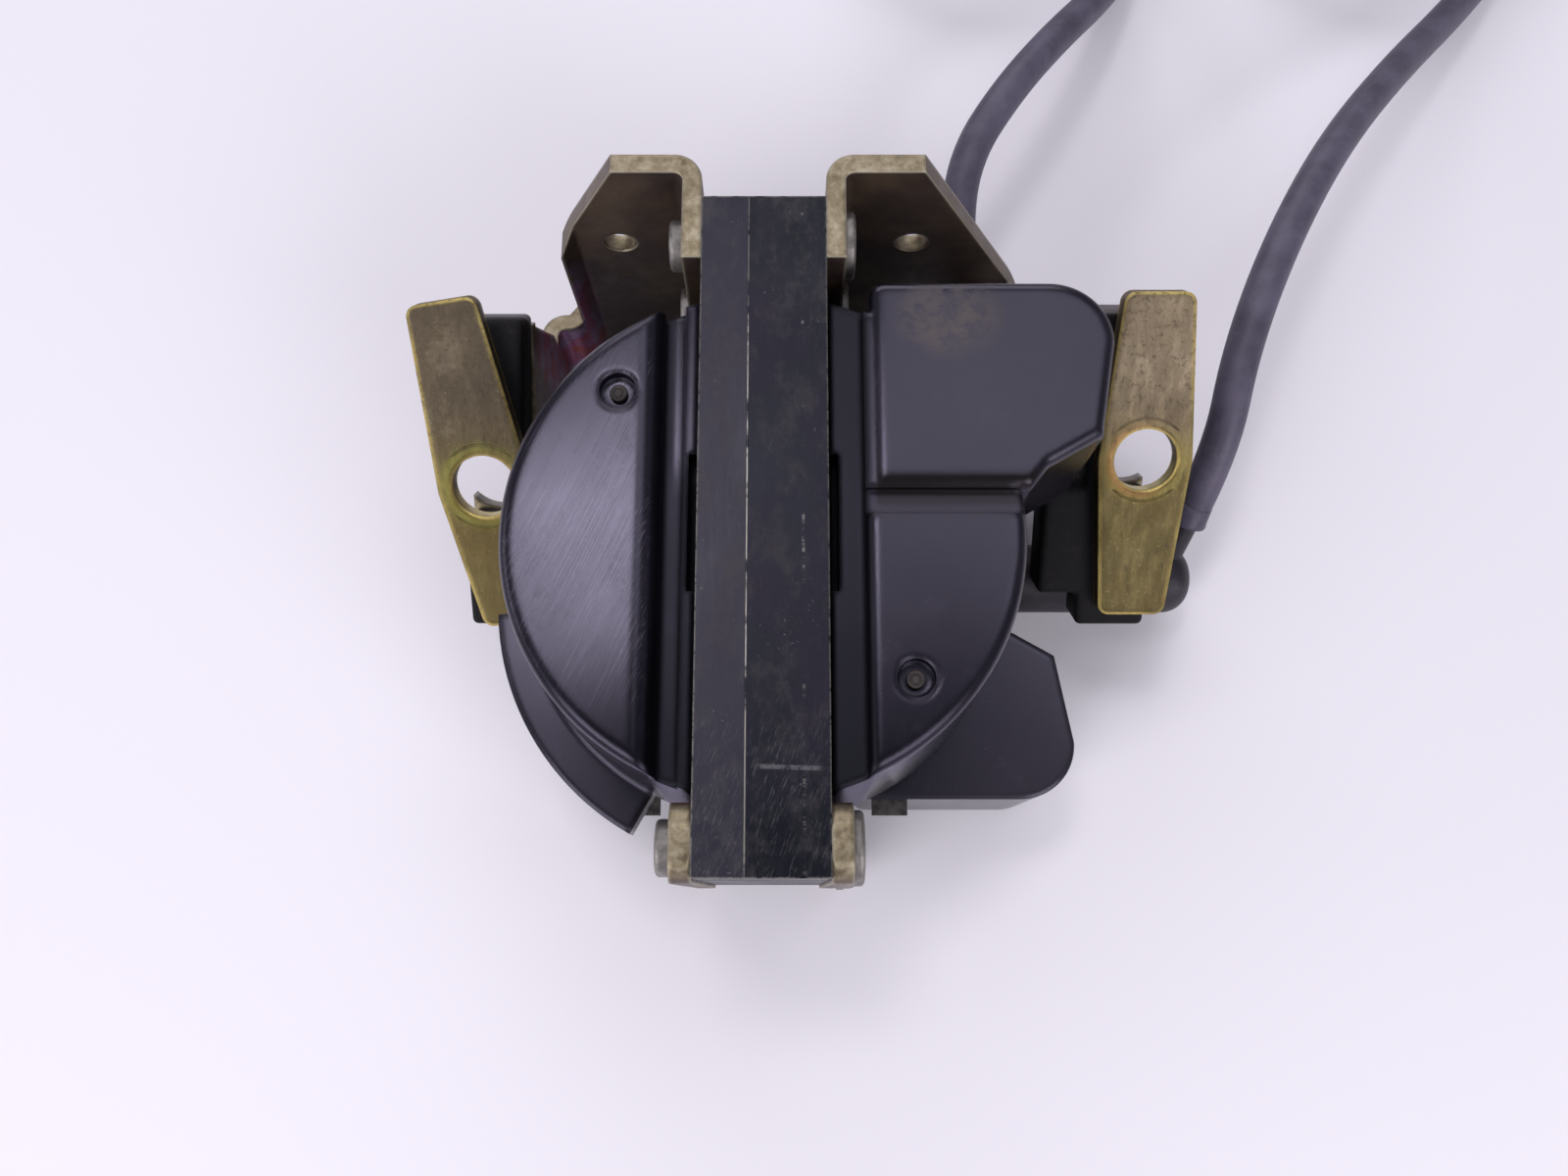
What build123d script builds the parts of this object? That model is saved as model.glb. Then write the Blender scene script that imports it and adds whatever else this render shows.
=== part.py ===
from build123d import *
import math
import os

os.makedirs("parts", exist_ok=True)

# A twin ignition coil: two moulded coils back to back on one pressed bracket.
# Origin on the floor below the middle of the cores. +X is the lead side, +Y the
# bracket end, +Z up. The upper coil faces up; the lower one is the same coil
# turned over about X. "h" is a height away from the plane between the two.

# Laminated cores
stack_width = 20.0
core_length = 106.8
side_leg = 9.0
centre_leg = 18.0
yoke = 9.0
bar_height = 9.0
window_height = 18.0
spacer_thickness = 2.0
air_gap = 0.3

# Moulded housing
disc_radius = 40.0
disc_draft = 1.4
disc_shift = 2.2
housing_wall = 2.5
housing_drop = 1.0
housing_lift = 0.6
roof = 2.1
channel_left = 15.8
channel_right = 15.6
channel_depth = 3.0
trough_width = 3.3
trough_depth = 6.0
moon_round = 3.6
lobe_round = 1.5
core_clearance = 0.4
edge_round = 1.8
recess_offset = 22.6
recess_radius = 2.9
recess_depth = 2.2
screw_radius = 1.5
screw_height = 1.2
skirt_radius = 46.0
skirt_shift = 5.5
skirt_height = 5.5
skirt_start = 184.0
skirt_sweep = 57.0
slot_width = 1.2
slot_length = 22.0
slot_depth = 4.0

# High-voltage tower box
tower_inner = 16.7
tower_outer = 55.3
tower_low = 4.5
tower_high = 38.9
tower_waist = 41.0
tower_step = 8.0
tower_shoulder = 13.0
tower_taper = 2.8
tower_big_radius = 10.0
tower_small_radius = 2.3
tower_drop = 0.5
tower_floor = 8.0
groove_width = 4.0
groove_depth = 1.5

# Windings
primary_hub = 15.5
primary_turns = 5.0
secondary_turns = 10.5
bobbin_wall = 1.2
fit_gap = 0.2
turn_gap = 0.05
potting_depth = 11.0

# High-voltage posts, boots and terminals
upper_post_x = 40.5
upper_post_y = 30.5
post_radius = 4.2
upper_post_length = 14.0
upper_boot_radius = 6.2
outlet_radius = 5.4
outlet_length = 16.0
outlet_height = 22.0
lower_post_y = 6.5
lower_post_height = 10.0
lower_post_end = 56.0
lower_boot_radius = 6.8
lower_boot_start = 43.2
lower_boot_end = 84.0
lower_boot_round = 5.0
stub_length = 15.0
stub_radius = 2.6
pin_radius = 1.5
post_fit = 0.05

# Primary blades
blade_width = 6.3
blade_thickness = 0.8
blade_reach = 11.0
blade_spread = 22.0
blade_height = 9.0

# Pressed bracket and end plates
sheet = 3.2
leg_overlap = 10.8
face_reach = 7.5
bend_radius = 3.0
bracket_foot = 3.0
left_top_half = 25.0
left_wide_drop = 21.7
right_top_half = 26.2
right_wide_drop = 41.0
arm_top = 27.0
right_arm_top = 28.0
arm_jog = 5.0
cheek_opening = 12.8
cheek_margin = 16.4
jog_run = 4.0
jog_radius = 1.8
fix_hole_radius = 3.0
fix_hole_x = 26.1
fix_hole_drop = 22.3
lead_notch_left = 31.5
lead_notch_width = 13.0
lead_notch_top = 30.0
plate_overlap = 10.8
plate_past = 0.7
end_plate_round = 4.0

# Rivets
rivet_radius = 2.5
rivet_inset = 4.5
rivet_high_drop = 8.0
rivet_low_rise = 4.5
left_head_radius = 4.2
left_head = 2.4
right_head_radius = 5.5
right_head = 1.7
head_round = 0.7

# Mounting ears, set at an angle on bonded rubber
ear_tilt = 33.5
ear_half_length = 28.8
ear_half_middle = 8.2
ear_half_end = 5.9
ear_round = 2.0
ear_hole_radius = 5.5
left_mount_gap = 0.8
left_ear_offset = 6.7
left_ear_y = 13.4
left_ear_turn = 9.0
left_ear_lift = 3.2
left_ear_trim = 3.6
right_mount_gap = 1.9
right_ear_offset = 9.2
right_ear_y = 18.3
ear_drop = 27.0
rubber_thickness = 9.0
rubber_window = 7.2
rubber_inner_wall = 2.8
left_rubber_low = -27.0
left_rubber_high = 28.2
left_rubber_width = 11.8
left_rubber_flare = 1.2
left_rubber_gap = 1.0
right_rubber_low = -32.2
right_rubber_high = 25.4
right_rubber_width = 12.6
left_cheek_step = 4.8
right_cheek_step = 9.1
wing_width = 7.4
wing_start = -26.0
wing_end = -6.0
tab_hole_radius = 7.0
tab_start = -18.0
tab_margin = 2.0

# High-voltage leads, caps and ties
lead_radius = 3.5
cord_share = 0.45
coil_radius = 38.5
coil_pitch = 7.2
coil_play = 0.3
cap_length = 72.0
cap_radius = 9.5
cap_neck_radius = 6.6
cap_neck_length = 14.0
cap_bore_radius = 6.8
cap_bore_depth = 38.0
cap_rib = 1.0
cap_round = 1.5
clip_radius = 3.6
clip_length = 11.0
tie_width = 4.6
tie_thickness = 1.1
tie_gap = 0.3
tie_angle = 30.0

# Leads as routes: from the boot to the wound-up length, then on to the cap
lead_a_route = [
    (40.5, 46.5, 22.0),
    (40.5, 58.5, 22.0),
    (38.0, 73.5, 25.0),
    (39.5, 89.0, 30.0),
    (49.0, 104.0, 31.5),
    (61.0, 121.0, 26.0),
    (73.0, 138.0, 16.5),
    (81.0, 153.0, 8.5),
    (85.3, 167.0, 5.6),
    (86.9, 179.8, 4.9),
]
lead_a_centre = (52.0, 196.0)
lead_a_entry = -24.8
lead_a_turns = 1.4
lead_a_tail = [(17.0, 220.0, 11.6), (0.0, 213.5, 9.5), (-18.0, 213.5, 9.5)]
lead_b_route = [
    (81.9, 16.3, 20.7),
    (85.7, 25.8, 31.1),
    (89.0, 44.0, 37.0),
    (98.5, 66.4, 38.0),
    (113.5, 91.0, 33.0),
    (133.0, 115.0, 23.0),
    (153.0, 137.0, 12.5),
    (168.0, 155.0, 6.8),
    (178.1, 174.8, 4.9),
]
lead_b_centre = (146.0, 196.0)
lead_b_entry = -33.5
lead_b_turns = 1.3
lead_b_tail = [
    (141.0, 240.0, 12.0),
    (126.0, 246.0, 10.5),
    (111.0, 249.5, 9.5),
    (95.0, 249.5, 9.5),
]

# Worked-out sizes
core_height = yoke + window_height + bar_height
half_gap = spacer_thickness / 2
core_top = half_gap + core_height
bar_top = half_gap + bar_height
yoke_base = core_top - yoke
middle = core_top
half_stack = stack_width / 2
half_core = core_length / 2
disc_top = core_top - housing_drop
disc_base = half_gap + housing_lift
cavity_top = yoke_base - core_clearance - roof
tower_top = core_top - tower_drop
winding_base = disc_base + potting_depth
top = 2 * core_top
ear_z = top - ear_drop
rivet_y = half_core - rivet_inset
rivet_levels = [core_top - rivet_high_drop, half_gap + rivet_low_rise]
half_slot = half_stack + core_clearance
cavity_radius = disc_radius - housing_wall
left_rubber_inner = -disc_radius - disc_draft - left_mount_gap
left_rubber_outer = left_rubber_inner - left_rubber_width
left_cheek = left_rubber_inner + left_rubber_gap
left_wide = -left_cheek - left_cheek_step
left_ear_x = left_rubber_inner - left_ear_offset
right_cheek = tower_outer + right_mount_gap
right_rubber_outer = right_cheek + right_rubber_width
right_wide = right_cheek - right_cheek_step
right_ear_x = right_cheek + right_ear_offset
bracket_leg_start = half_core - leg_overlap
bracket_face = half_core + face_reach
end_plate_start = half_core - plate_overlap
end_plate_end = half_core + plate_past
face_cut = 3 * sheet
coil_base = tie_thickness + tie_gap


def save(piece, label):
    piece.part.label = label
    export_step(piece.part, f"parts/{label}.step")


def level(side, h):
    return middle + side * h


def bore_along_x(radius, y, z, start, end):
    with BuildSketch(Plane.YZ.offset(start)) as hole:
        with Locations((y, z)):
            Circle(radius)
    extrude(hole.sketch, amount=end - start, mode=Mode.SUBTRACT)


def make_core(side, name):
    with BuildPart() as stack:
        with BuildSketch(Plane.YZ.offset(-half_stack)):
            with Locations((0, level(side, core_top - yoke / 2))):
                Rectangle(core_length, yoke)
            leg_height = window_height
            for y, width in [
                (half_core - side_leg / 2, side_leg),
                (-half_core + side_leg / 2, side_leg),
            ]:
                with Locations((y, level(side, bar_top + leg_height / 2))):
                    Rectangle(width, leg_height)
            centre_height = leg_height - air_gap
            with Locations((0, level(side, yoke_base - centre_height / 2))):
                Rectangle(centre_leg, centre_height)
        extrude(amount=stack_width)
        for y in (-rivet_y, rivet_y):
            bore_along_x(rivet_radius, y, level(side, rivet_levels[0]), -half_stack, half_stack)
    save(stack, name + "_core_stack")
    with BuildPart() as bar:
        with BuildSketch(Plane.YZ.offset(-half_stack)):
            with Locations((0, level(side, half_gap + bar_height / 2))):
                Rectangle(core_length, bar_height)
        extrude(amount=stack_width)
        for y in (-rivet_y, rivet_y):
            bore_along_x(rivet_radius, y, level(side, rivet_levels[1]), -half_stack, half_stack)
    save(bar, name + "_core_bar")


def make_tower(side):
    with BuildPart() as tower:
        with BuildSketch(Plane.XY.offset(level(side, tower_floor))) as plan:
            with BuildLine():
                Polyline(
                    (tower_inner, side * tower_low),
                    (tower_waist, side * tower_low),
                    (tower_waist + tower_taper, side * tower_step),
                    (tower_outer - tower_taper, side * tower_shoulder),
                    (tower_outer, side * (tower_high - tower_big_radius)),
                    (tower_outer, side * tower_high),
                    (tower_inner, side * tower_high),
                    close=True,
                )
            make_face()
            far = plan.vertices().sort_by(lambda v: v.X + side * v.Y)[-1]
            fillet(far, tower_big_radius)
            inner_corner = plan.vertices().sort_by(lambda v: side * v.Y - v.X)[-1]
            fillet(inner_corner, tower_small_radius)
        extrude(amount=side * (tower_top - tower_floor))
        rims = tower.edges().group_by(Axis.Z)
        fillet(rims[-1] if side > 0 else rims[0], edge_round)
    return tower


def blade_spots(side):
    outer = disc_radius + disc_draft
    wall = math.sqrt(outer**2 - (blade_spread + blade_width / 2) ** 2)
    y = side * (wall + blade_reach / 2 - disc_shift)
    return [(-blade_spread, y), (blade_spread, y)]


def rounded_edge(side, x_wall, radius):
    # Start, middle and end of a quarter circle from the disc's face down to a wall
    short = abs(radius) * (1 - math.cos(math.radians(45)))
    return (
        (x_wall + radius, level(side, disc_top)),
        (x_wall + math.copysign(short, radius), level(side, disc_top - short)),
        (x_wall, level(side, disc_top - abs(radius))),
    )


def make_housing(side, name):
    tower = make_tower(side)
    y_mid = -side * disc_shift
    with BuildPart() as housing:
        with BuildSketch(Plane.XY.offset(level(side, disc_base))):
            with Locations((0, y_mid)):
                Circle(disc_radius + disc_draft)
        with BuildSketch(Plane.XY.offset(level(side, disc_top))):
            with Locations((0, y_mid)):
                Circle(disc_radius)
        loft()
        outer = housing.edges().filter_by(GeomType.CIRCLE).sort_by(Axis.Z)
        fillet(outer[-1] if side > 0 else outer[0], edge_round)
        if side > 0:
            y_skirt = -side * skirt_shift
            with BuildSketch(Plane.XY.offset(level(side, disc_base))):
                with Locations((0, y_skirt)):
                    Circle(skirt_radius)
                with Locations((0, y_mid)):
                    Circle(cavity_radius, mode=Mode.SUBTRACT)
                with BuildLine():
                    reach = 2 * skirt_radius
                    first = math.radians(skirt_start)
                    last = math.radians(skirt_start + skirt_sweep)
                    corner = (0, y_skirt)
                    a = (reach * math.cos(first), y_skirt + reach * math.sin(first))
                    b = (reach * math.cos(last), y_skirt + reach * math.sin(last))
                    Polyline(corner, a, b, close=True)
                make_face(mode=Mode.INTERSECT)
            extrude(amount=skirt_height)
        add(tower.part)
        # Cavity for the windings, and the way through for the centre leg
        with BuildSketch(Plane.XY.offset(level(side, disc_base))):
            with Locations((0, y_mid)):
                Circle(cavity_radius)
        extrude(amount=side * (cavity_top - disc_base), mode=Mode.SUBTRACT)
        with BuildSketch(Plane.XY.offset(level(side, disc_base))):
            Rectangle(2 * half_slot, centre_leg + 2 * core_clearance)
        extrude(amount=side * core_height, mode=Mode.SUBTRACT)
        # Bed for the yoke, the wider floor beside it, and the bar's way below
        with BuildSketch(Plane.XY.offset(level(side, yoke_base - core_clearance))):
            Rectangle(2 * half_slot, core_length)
        extrude(amount=side * core_height, mode=Mode.SUBTRACT)
        with BuildSketch(Plane.XZ):
            with BuildLine():
                start, middle_point, end = rounded_edge(side, -channel_left, -moon_round)
                ThreePointArc(start, middle_point, end)
                Polyline(
                    end,
                    (-channel_left, level(side, disc_top - trough_depth)),
                    (trough_width - channel_left, level(side, disc_top - trough_depth)),
                    (trough_width - channel_left, level(side, disc_top - channel_depth)),
                    (channel_right, level(side, disc_top - channel_depth)),
                    (channel_right, level(side, core_top + core_clearance)),
                    (start[0], level(side, core_top + core_clearance)),
                    start,
                )
            make_face()
        extrude(amount=half_core, both=True, mode=Mode.SUBTRACT)
        with BuildSketch(Plane.XZ.offset(-side * (tower_low - groove_width))):
            with BuildLine():
                start, middle_point, end = rounded_edge(side, channel_right, lobe_round)
                ThreePointArc(start, middle_point, end)
                Polyline(
                    end,
                    (channel_right, level(side, core_top + core_clearance)),
                    (start[0], level(side, core_top + core_clearance)),
                    start,
                )
            make_face()
        extrude(amount=side * disc_radius, mode=Mode.SUBTRACT)
        with BuildSketch(Plane.XY.offset(level(side, 0))):
            Rectangle(2 * half_slot, core_length)
        extrude(amount=side * (bar_top + core_clearance), mode=Mode.SUBTRACT)
        with BuildSketch(Plane.XY.offset(level(side, disc_top - trough_depth))):
            with Locations((trough_width / 2 - channel_left, 0)):
                Rectangle(trough_width, core_length)
        extrude(amount=side * core_height, mode=Mode.SUBTRACT)
        # Slots beside the yoke
        with BuildSketch(Plane.XY.offset(level(side, disc_top - channel_depth))):
            with Locations((half_slot, 0), (-half_slot, 0)):
                Rectangle(2 * slot_width, slot_length)
        extrude(amount=-side * slot_depth, mode=Mode.SUBTRACT)
        # Groove between the tower box and the lobe, and the two recesses
        with BuildSketch(Plane.XY.offset(level(side, disc_top - groove_depth))):
            with Locations(((channel_right + skirt_radius) / 2, side * (tower_low - groove_width / 2))):
                Rectangle(skirt_radius - channel_right, groove_width)
        extrude(amount=side * core_height, mode=Mode.SUBTRACT)
        with BuildSketch(Plane.XY.offset(level(side, disc_top - recess_depth))):
            with Locations(
                (-recess_offset, y_mid + side * recess_offset),
                (recess_offset, y_mid - side * recess_offset),
            ):
                Circle(recess_radius)
        extrude(amount=side * core_height, mode=Mode.SUBTRACT)
        # Pockets that hold the blades
        with BuildSketch(Plane.XY.offset(level(side, blade_height))):
            with Locations(*blade_spots(side)):
                Rectangle(blade_width, blade_reach)
        extrude(amount=side * blade_thickness, mode=Mode.SUBTRACT)
        # High-voltage post
        if side > 0:
            with BuildSketch(Plane.XY.offset(level(side, tower_floor))):
                with Locations((upper_post_x, upper_post_y)):
                    Circle(post_radius)
            extrude(amount=-upper_post_length)
            with BuildSketch(Plane.XY.offset(level(side, tower_floor) - upper_post_length)):
                with Locations((upper_post_x, upper_post_y)):
                    Circle(pin_radius)
            extrude(amount=upper_post_length, mode=Mode.SUBTRACT)
        else:
            with BuildSketch(Plane.YZ.offset(cavity_radius + fit_gap)):
                with Locations((lower_post_y, lower_post_height)):
                    Circle(post_radius)
            extrude(amount=lower_post_end - cavity_radius - fit_gap)
            bore_along_x(
                pin_radius, lower_post_y, lower_post_height, lower_boot_start, lower_post_end
            )
    save(housing, name + "_housing")


def ring(side, low, high, inner, outer):
    with BuildSketch(Plane.XY.offset(level(side, low))) as face:
        with Locations((0, -side * disc_shift)):
            Circle(outer)
            Circle(inner, mode=Mode.SUBTRACT)
    extrude(face.sketch, amount=side * (high - low))


def make_windings(side, name):
    low = winding_base
    high = cavity_top - fit_gap
    primary_outer = primary_hub + primary_turns
    secondary_hub = primary_outer + bobbin_wall + 2 * fit_gap
    secondary_outer = secondary_hub + secondary_turns
    with BuildPart() as primary_bobbin:
        ring(side, low, low + bobbin_wall, fit_gap, primary_outer)
        ring(side, low, high, fit_gap, primary_hub)
        ring(side, high - bobbin_wall, high, fit_gap, primary_outer)
        with BuildSketch(Plane.XY.offset(level(side, low))):
            Rectangle(2 * half_slot, centre_leg + 2 * core_clearance)
        extrude(amount=side * (high - low), mode=Mode.SUBTRACT)
    save(primary_bobbin, name + "_primary_bobbin")
    turns_low = low + bobbin_wall + turn_gap
    turns_high = high - bobbin_wall - turn_gap
    with BuildPart() as primary:
        ring(side, turns_low, turns_high, primary_hub + turn_gap, primary_outer)
    save(primary, name + "_primary_winding")
    with BuildPart() as secondary_bobbin:
        ring(side, low, low + bobbin_wall, primary_outer + fit_gap, secondary_outer)
        ring(side, low, high, primary_outer + fit_gap, secondary_hub)
        ring(side, high - bobbin_wall, high, primary_outer + fit_gap, secondary_outer)
    save(secondary_bobbin, name + "_secondary_bobbin")
    with BuildPart() as secondary:
        ring(side, turns_low, turns_high, secondary_hub + turn_gap, secondary_outer)
    save(secondary, name + "_secondary_winding")
    with BuildPart() as potting:
        ring(side, disc_base, low, fit_gap, cavity_radius)
        ring(side, low, high, secondary_outer + fit_gap, cavity_radius)
        with BuildSketch(Plane.XY.offset(level(side, disc_base))):
            Rectangle(2 * half_slot, core_length)
        extrude(amount=side * (bar_top + core_clearance - disc_base), mode=Mode.SUBTRACT)
        with BuildSketch(Plane.XY.offset(level(side, disc_base))):
            Rectangle(2 * half_slot, centre_leg + 2 * core_clearance)
        extrude(amount=side * (low - disc_base), mode=Mode.SUBTRACT)
    save(potting, name + "_potting_resin")


def make_screws(side, name):
    y_mid = -side * disc_shift
    with BuildPart() as screws:
        with BuildSketch(Plane.XY.offset(level(side, disc_top - recess_depth))):
            with Locations(
                (-recess_offset, y_mid + side * recess_offset),
                (recess_offset, y_mid - side * recess_offset),
            ):
                Circle(screw_radius)
        extrude(amount=side * screw_height)
    save(screws, name + "_recess_studs")


def make_blades(side, name):
    with BuildPart() as blades:
        with BuildSketch(Plane.XY.offset(level(side, blade_height))):
            with Locations(*blade_spots(side)):
                Rectangle(blade_width, blade_reach)
        extrude(amount=side * blade_thickness)
    save(blades, name + "_primary_blades")


def ear_plane(x, y, turn=0.0):
    tilt = math.radians(ear_tilt)
    turned = math.radians(turn)
    normal = (0, -math.sin(tilt), math.cos(tilt))
    across = (
        math.cos(turned),
        math.sin(turned) * math.cos(tilt),
        math.sin(turned) * math.sin(tilt),
    )
    return Plane(origin=(x, y, ear_z), x_dir=across, z_dir=normal)


def make_ear(x, y, turn, lift, trim, name):
    low = lift - ear_half_length
    high = lift + ear_half_length
    with BuildPart() as ear:
        with BuildSketch(ear_plane(x, y, turn)) as outline:
            with BuildLine():
                Polyline(
                    (-ear_half_end, low),
                    (ear_half_end - trim, low),
                    (ear_half_middle, 0),
                    (ear_half_end, high),
                    (-ear_half_end, high),
                    (-ear_half_middle, 0),
                    close=True,
                )
            make_face()
            fillet(outline.vertices(), ear_round)
            Circle(ear_hole_radius, mode=Mode.SUBTRACT)
        extrude(amount=-sheet)
    save(ear, name)


def make_rubber(side, y, outline_points, name):
    outer = left_rubber_outer if side < 0 else right_rubber_outer
    width = left_rubber_width if side < 0 else right_rubber_width
    notch = width - rubber_inner_wall
    with BuildPart() as rubber:
        with BuildSketch(ear_plane(0, y).offset(-sheet)):
            with BuildLine():
                Polyline(*outline_points, close=True)
            make_face()
            if side > 0:
                wing_mid = right_cheek - wing_width / 2
                with Locations((wing_mid, (wing_start + wing_end) / 2)):
                    Rectangle(wing_width, wing_end - wing_start)
            with Locations((outer - side * notch / 2, 0)):
                Rectangle(notch, 2 * rubber_window, mode=Mode.SUBTRACT)
        extrude(amount=-rubber_thickness)
    save(rubber, name)


def make_bracket(side, top_half, wide, wide_drop, wide_z_end, cheek, outer, tab_end, name):
    ear_x = left_ear_x if side < 0 else right_ear_x
    ear_y = left_ear_y if side < 0 else right_ear_y
    x_leg = side * (half_stack + sheet / 2)
    y_face = bracket_face - sheet / 2
    x_cheek = cheek + side * sheet / 2
    y_jog = y_face - arm_jog
    tilt = math.radians(ear_tilt)
    depth = sheet + rubber_thickness

    def on_tab(v, d):
        y = ear_y + v * math.cos(tilt) + d * math.sin(tilt)
        return (y, ear_z + v * math.sin(tilt) - d * math.cos(tilt))

    with BuildPart() as bracket:
        with BuildSketch(Plane.XY.offset(bracket_foot)):
            with BuildLine():
                FilletPolyline(
                    (x_leg, bracket_leg_start),
                    (x_leg, y_face),
                    (side * (wide - jog_run / 2), y_face),
                    (side * (wide + jog_run / 2), y_jog),
                    (x_cheek, y_jog),
                    (x_cheek, ear_y),
                    radius=[bend_radius, jog_radius, jog_radius, bend_radius],
                )
            trace(line_width=sheet)
        extrude(amount=top - bracket_foot)
        # Outline of the upright face, cut from the full height
        with BuildSketch(Plane.XZ.offset(-bracket_face - sheet)):
            with BuildLine():
                Polyline(
                    (side * top_half, top + sheet),
                    (side * top_half, top),
                    (side * wide, top - wide_drop),
                    (side * wide, wide_z_end),
                    (side * (abs(cheek) + 2 * cheek_margin), wide_z_end),
                    (side * (abs(cheek) + 2 * cheek_margin), top + sheet),
                    close=True,
                )
            make_face()
        extrude(amount=face_cut + arm_jog, mode=Mode.SUBTRACT)
        # Cheek: below the tab's line only, and open under it
        with BuildSketch(Plane.YZ.offset(min(cheek, cheek + side * sheet) - fit_gap)):
            with BuildLine():
                Polyline(
                    on_tab(tab_end, depth),
                    on_tab(tab_start, depth),
                    (ear_y - cheek_margin, bracket_foot - sheet),
                    (ear_y - cheek_margin, top + sheet),
                    (y_jog - sheet, top + sheet),
                    (y_jog - sheet, wide_z_end),
                    close=True,
                )
            make_face()
        extrude(amount=sheet + 2 * fit_gap, mode=Mode.SUBTRACT)
        with BuildSketch(Plane.YZ.offset(min(cheek, cheek + side * sheet) - fit_gap)):
            with BuildLine():
                Polyline(
                    on_tab(tab_start, depth),
                    on_tab(tab_start, depth + sheet),
                    (y_jog - cheek_opening, bracket_foot + sheet),
                    (y_jog - cheek_opening, bracket_foot - sheet),
                    (ear_y - cheek_margin, bracket_foot - sheet),
                    close=True,
                )
            make_face()
        extrude(amount=sheet + 2 * fit_gap, mode=Mode.SUBTRACT)
        # Tab behind the rubber
        with BuildSketch(ear_plane(0, ear_y).offset(-depth)):
            with Locations(((cheek + outer) / 2, (tab_start + tab_end) / 2)):
                Rectangle(abs(outer - cheek), tab_end - tab_start)
        extrude(amount=-sheet)
        # Holes
        with BuildSketch(ear_plane(0, ear_y)):
            with Locations((ear_x, 0)):
                Circle(tab_hole_radius)
        extrude(amount=-depth - face_cut, mode=Mode.SUBTRACT)
        with BuildSketch(Plane.XZ.offset(-bracket_face - sheet)):
            with Locations((side * fix_hole_x, top - fix_hole_drop)):
                Circle(fix_hole_radius)
            if side > 0:
                notch_mid = lead_notch_left + lead_notch_width / 2
                with Locations((notch_mid, lead_notch_top / 2)):
                    Rectangle(lead_notch_width, lead_notch_top)
        extrude(amount=face_cut, mode=Mode.SUBTRACT)
        for coil_side in (1, -1):
            for h in rivet_levels:
                x_low = min(side * half_stack, side * (half_stack + sheet))
                bore_along_x(rivet_radius, rivet_y, level(coil_side, h), x_low, x_low + sheet)
    save(bracket, name)


def make_end_plate(side, name):
    x_low = min(side * half_stack, side * (half_stack + sheet))
    with BuildPart() as plate:
        with BuildSketch(Plane.YZ.offset(x_low)) as face:
            with Locations((-(end_plate_start + end_plate_end) / 2, (top + bracket_foot) / 2)):
                Rectangle(end_plate_end - end_plate_start, top - bracket_foot)
            fillet(face.vertices(), end_plate_round)
        extrude(amount=sheet)
        for coil_side in (1, -1):
            for h in rivet_levels:
                bore_along_x(rivet_radius, -rivet_y, level(coil_side, h), x_low, x_low + sheet)
    save(plate, name)


def make_rivets(side, name):
    outer = half_stack + sheet
    shank = rivet_radius - post_fit
    with BuildPart() as rivets:
        for y in (-rivet_y, rivet_y):
            for h in rivet_levels:
                spot = (y, level(side, h))
                with BuildSketch(Plane.YZ.offset(-outer)):
                    with Locations(spot):
                        Circle(shank)
                extrude(amount=2 * outer)
                with BuildSketch(Plane.YZ.offset(-outer)):
                    with Locations(spot):
                        Circle(left_head_radius)
                extrude(amount=-left_head)
                with BuildSketch(Plane.YZ.offset(outer)):
                    with Locations(spot):
                        Circle(right_head_radius)
                extrude(amount=right_head)
        for end in (-1, 1):
            rims = rivets.edges().filter_by(GeomType.CIRCLE).group_by(Axis.X)
            fillet(rims[0] if end < 0 else rims[-1], head_round)
    save(rivets, name)


def make_cord(points, label):
    radii = []
    for before, here, after in zip(points, points[1:], points[2:]):
        run_in = Vector(*here) - Vector(*before)
        run_out = Vector(*after) - Vector(*here)
        turn = math.radians(run_in.get_angle(run_out))
        shorter = min(run_in.length, run_out.length)
        radii.append(cord_share * shorter / math.tan(turn / 2))
    print(label, "radii", [round(r) for r in radii])
    with BuildPart() as cord:
        with BuildLine() as path:
            route = FilletPolyline(*points, radius=radii)
        with BuildSketch(Plane(origin=route @ 0, z_dir=route % 0)):
            Circle(lead_radius)
        sweep()
    section = math.pi * lead_radius**2
    share = cord.part.volume / section / route.length
    print(label, "length", round(route.length), "volume share", round(share, 4))
    save(cord, label)


def coil_end(centre, entry, turns):
    angle = math.radians(entry + 360 * turns)
    height = coil_base + lead_radius + coil_pitch * turns
    return (
        centre[0] + coil_radius * math.cos(angle),
        centre[1] + coil_radius * math.sin(angle),
        height,
    )


def make_coil(centre, turns, label):
    outer = coil_radius + lead_radius + coil_play
    inner = coil_radius - lead_radius - coil_play
    with BuildPart() as coil:
        with BuildSketch(Plane.XY.offset(coil_base)):
            with Locations(centre):
                Circle(outer)
                Circle(inner, mode=Mode.SUBTRACT)
        extrude(amount=2 * lead_radius + coil_pitch * turns)
    save(coil, label)


def make_tie(centre, turns, label):
    angle = math.radians(tie_angle)
    spot = (centre[0] + coil_radius * math.cos(angle), centre[1] + coil_radius * math.sin(angle), 0)
    along = (math.sin(angle), -math.cos(angle), 0)
    across = (math.cos(angle), math.sin(angle), 0)
    inner_width = 2 * (lead_radius + coil_play + tie_gap)
    height = 2 * coil_base + 2 * lead_radius + coil_pitch * turns
    with BuildPart() as tie:
        with BuildSketch(Plane(origin=spot, x_dir=across, z_dir=along)):
            with Locations((0, height / 2)):
                Rectangle(inner_width + 2 * tie_thickness, height)
                Rectangle(inner_width, height - 2 * tie_thickness, mode=Mode.SUBTRACT)
        extrude(amount=tie_width / 2, both=True)
    save(tie, label)


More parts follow.
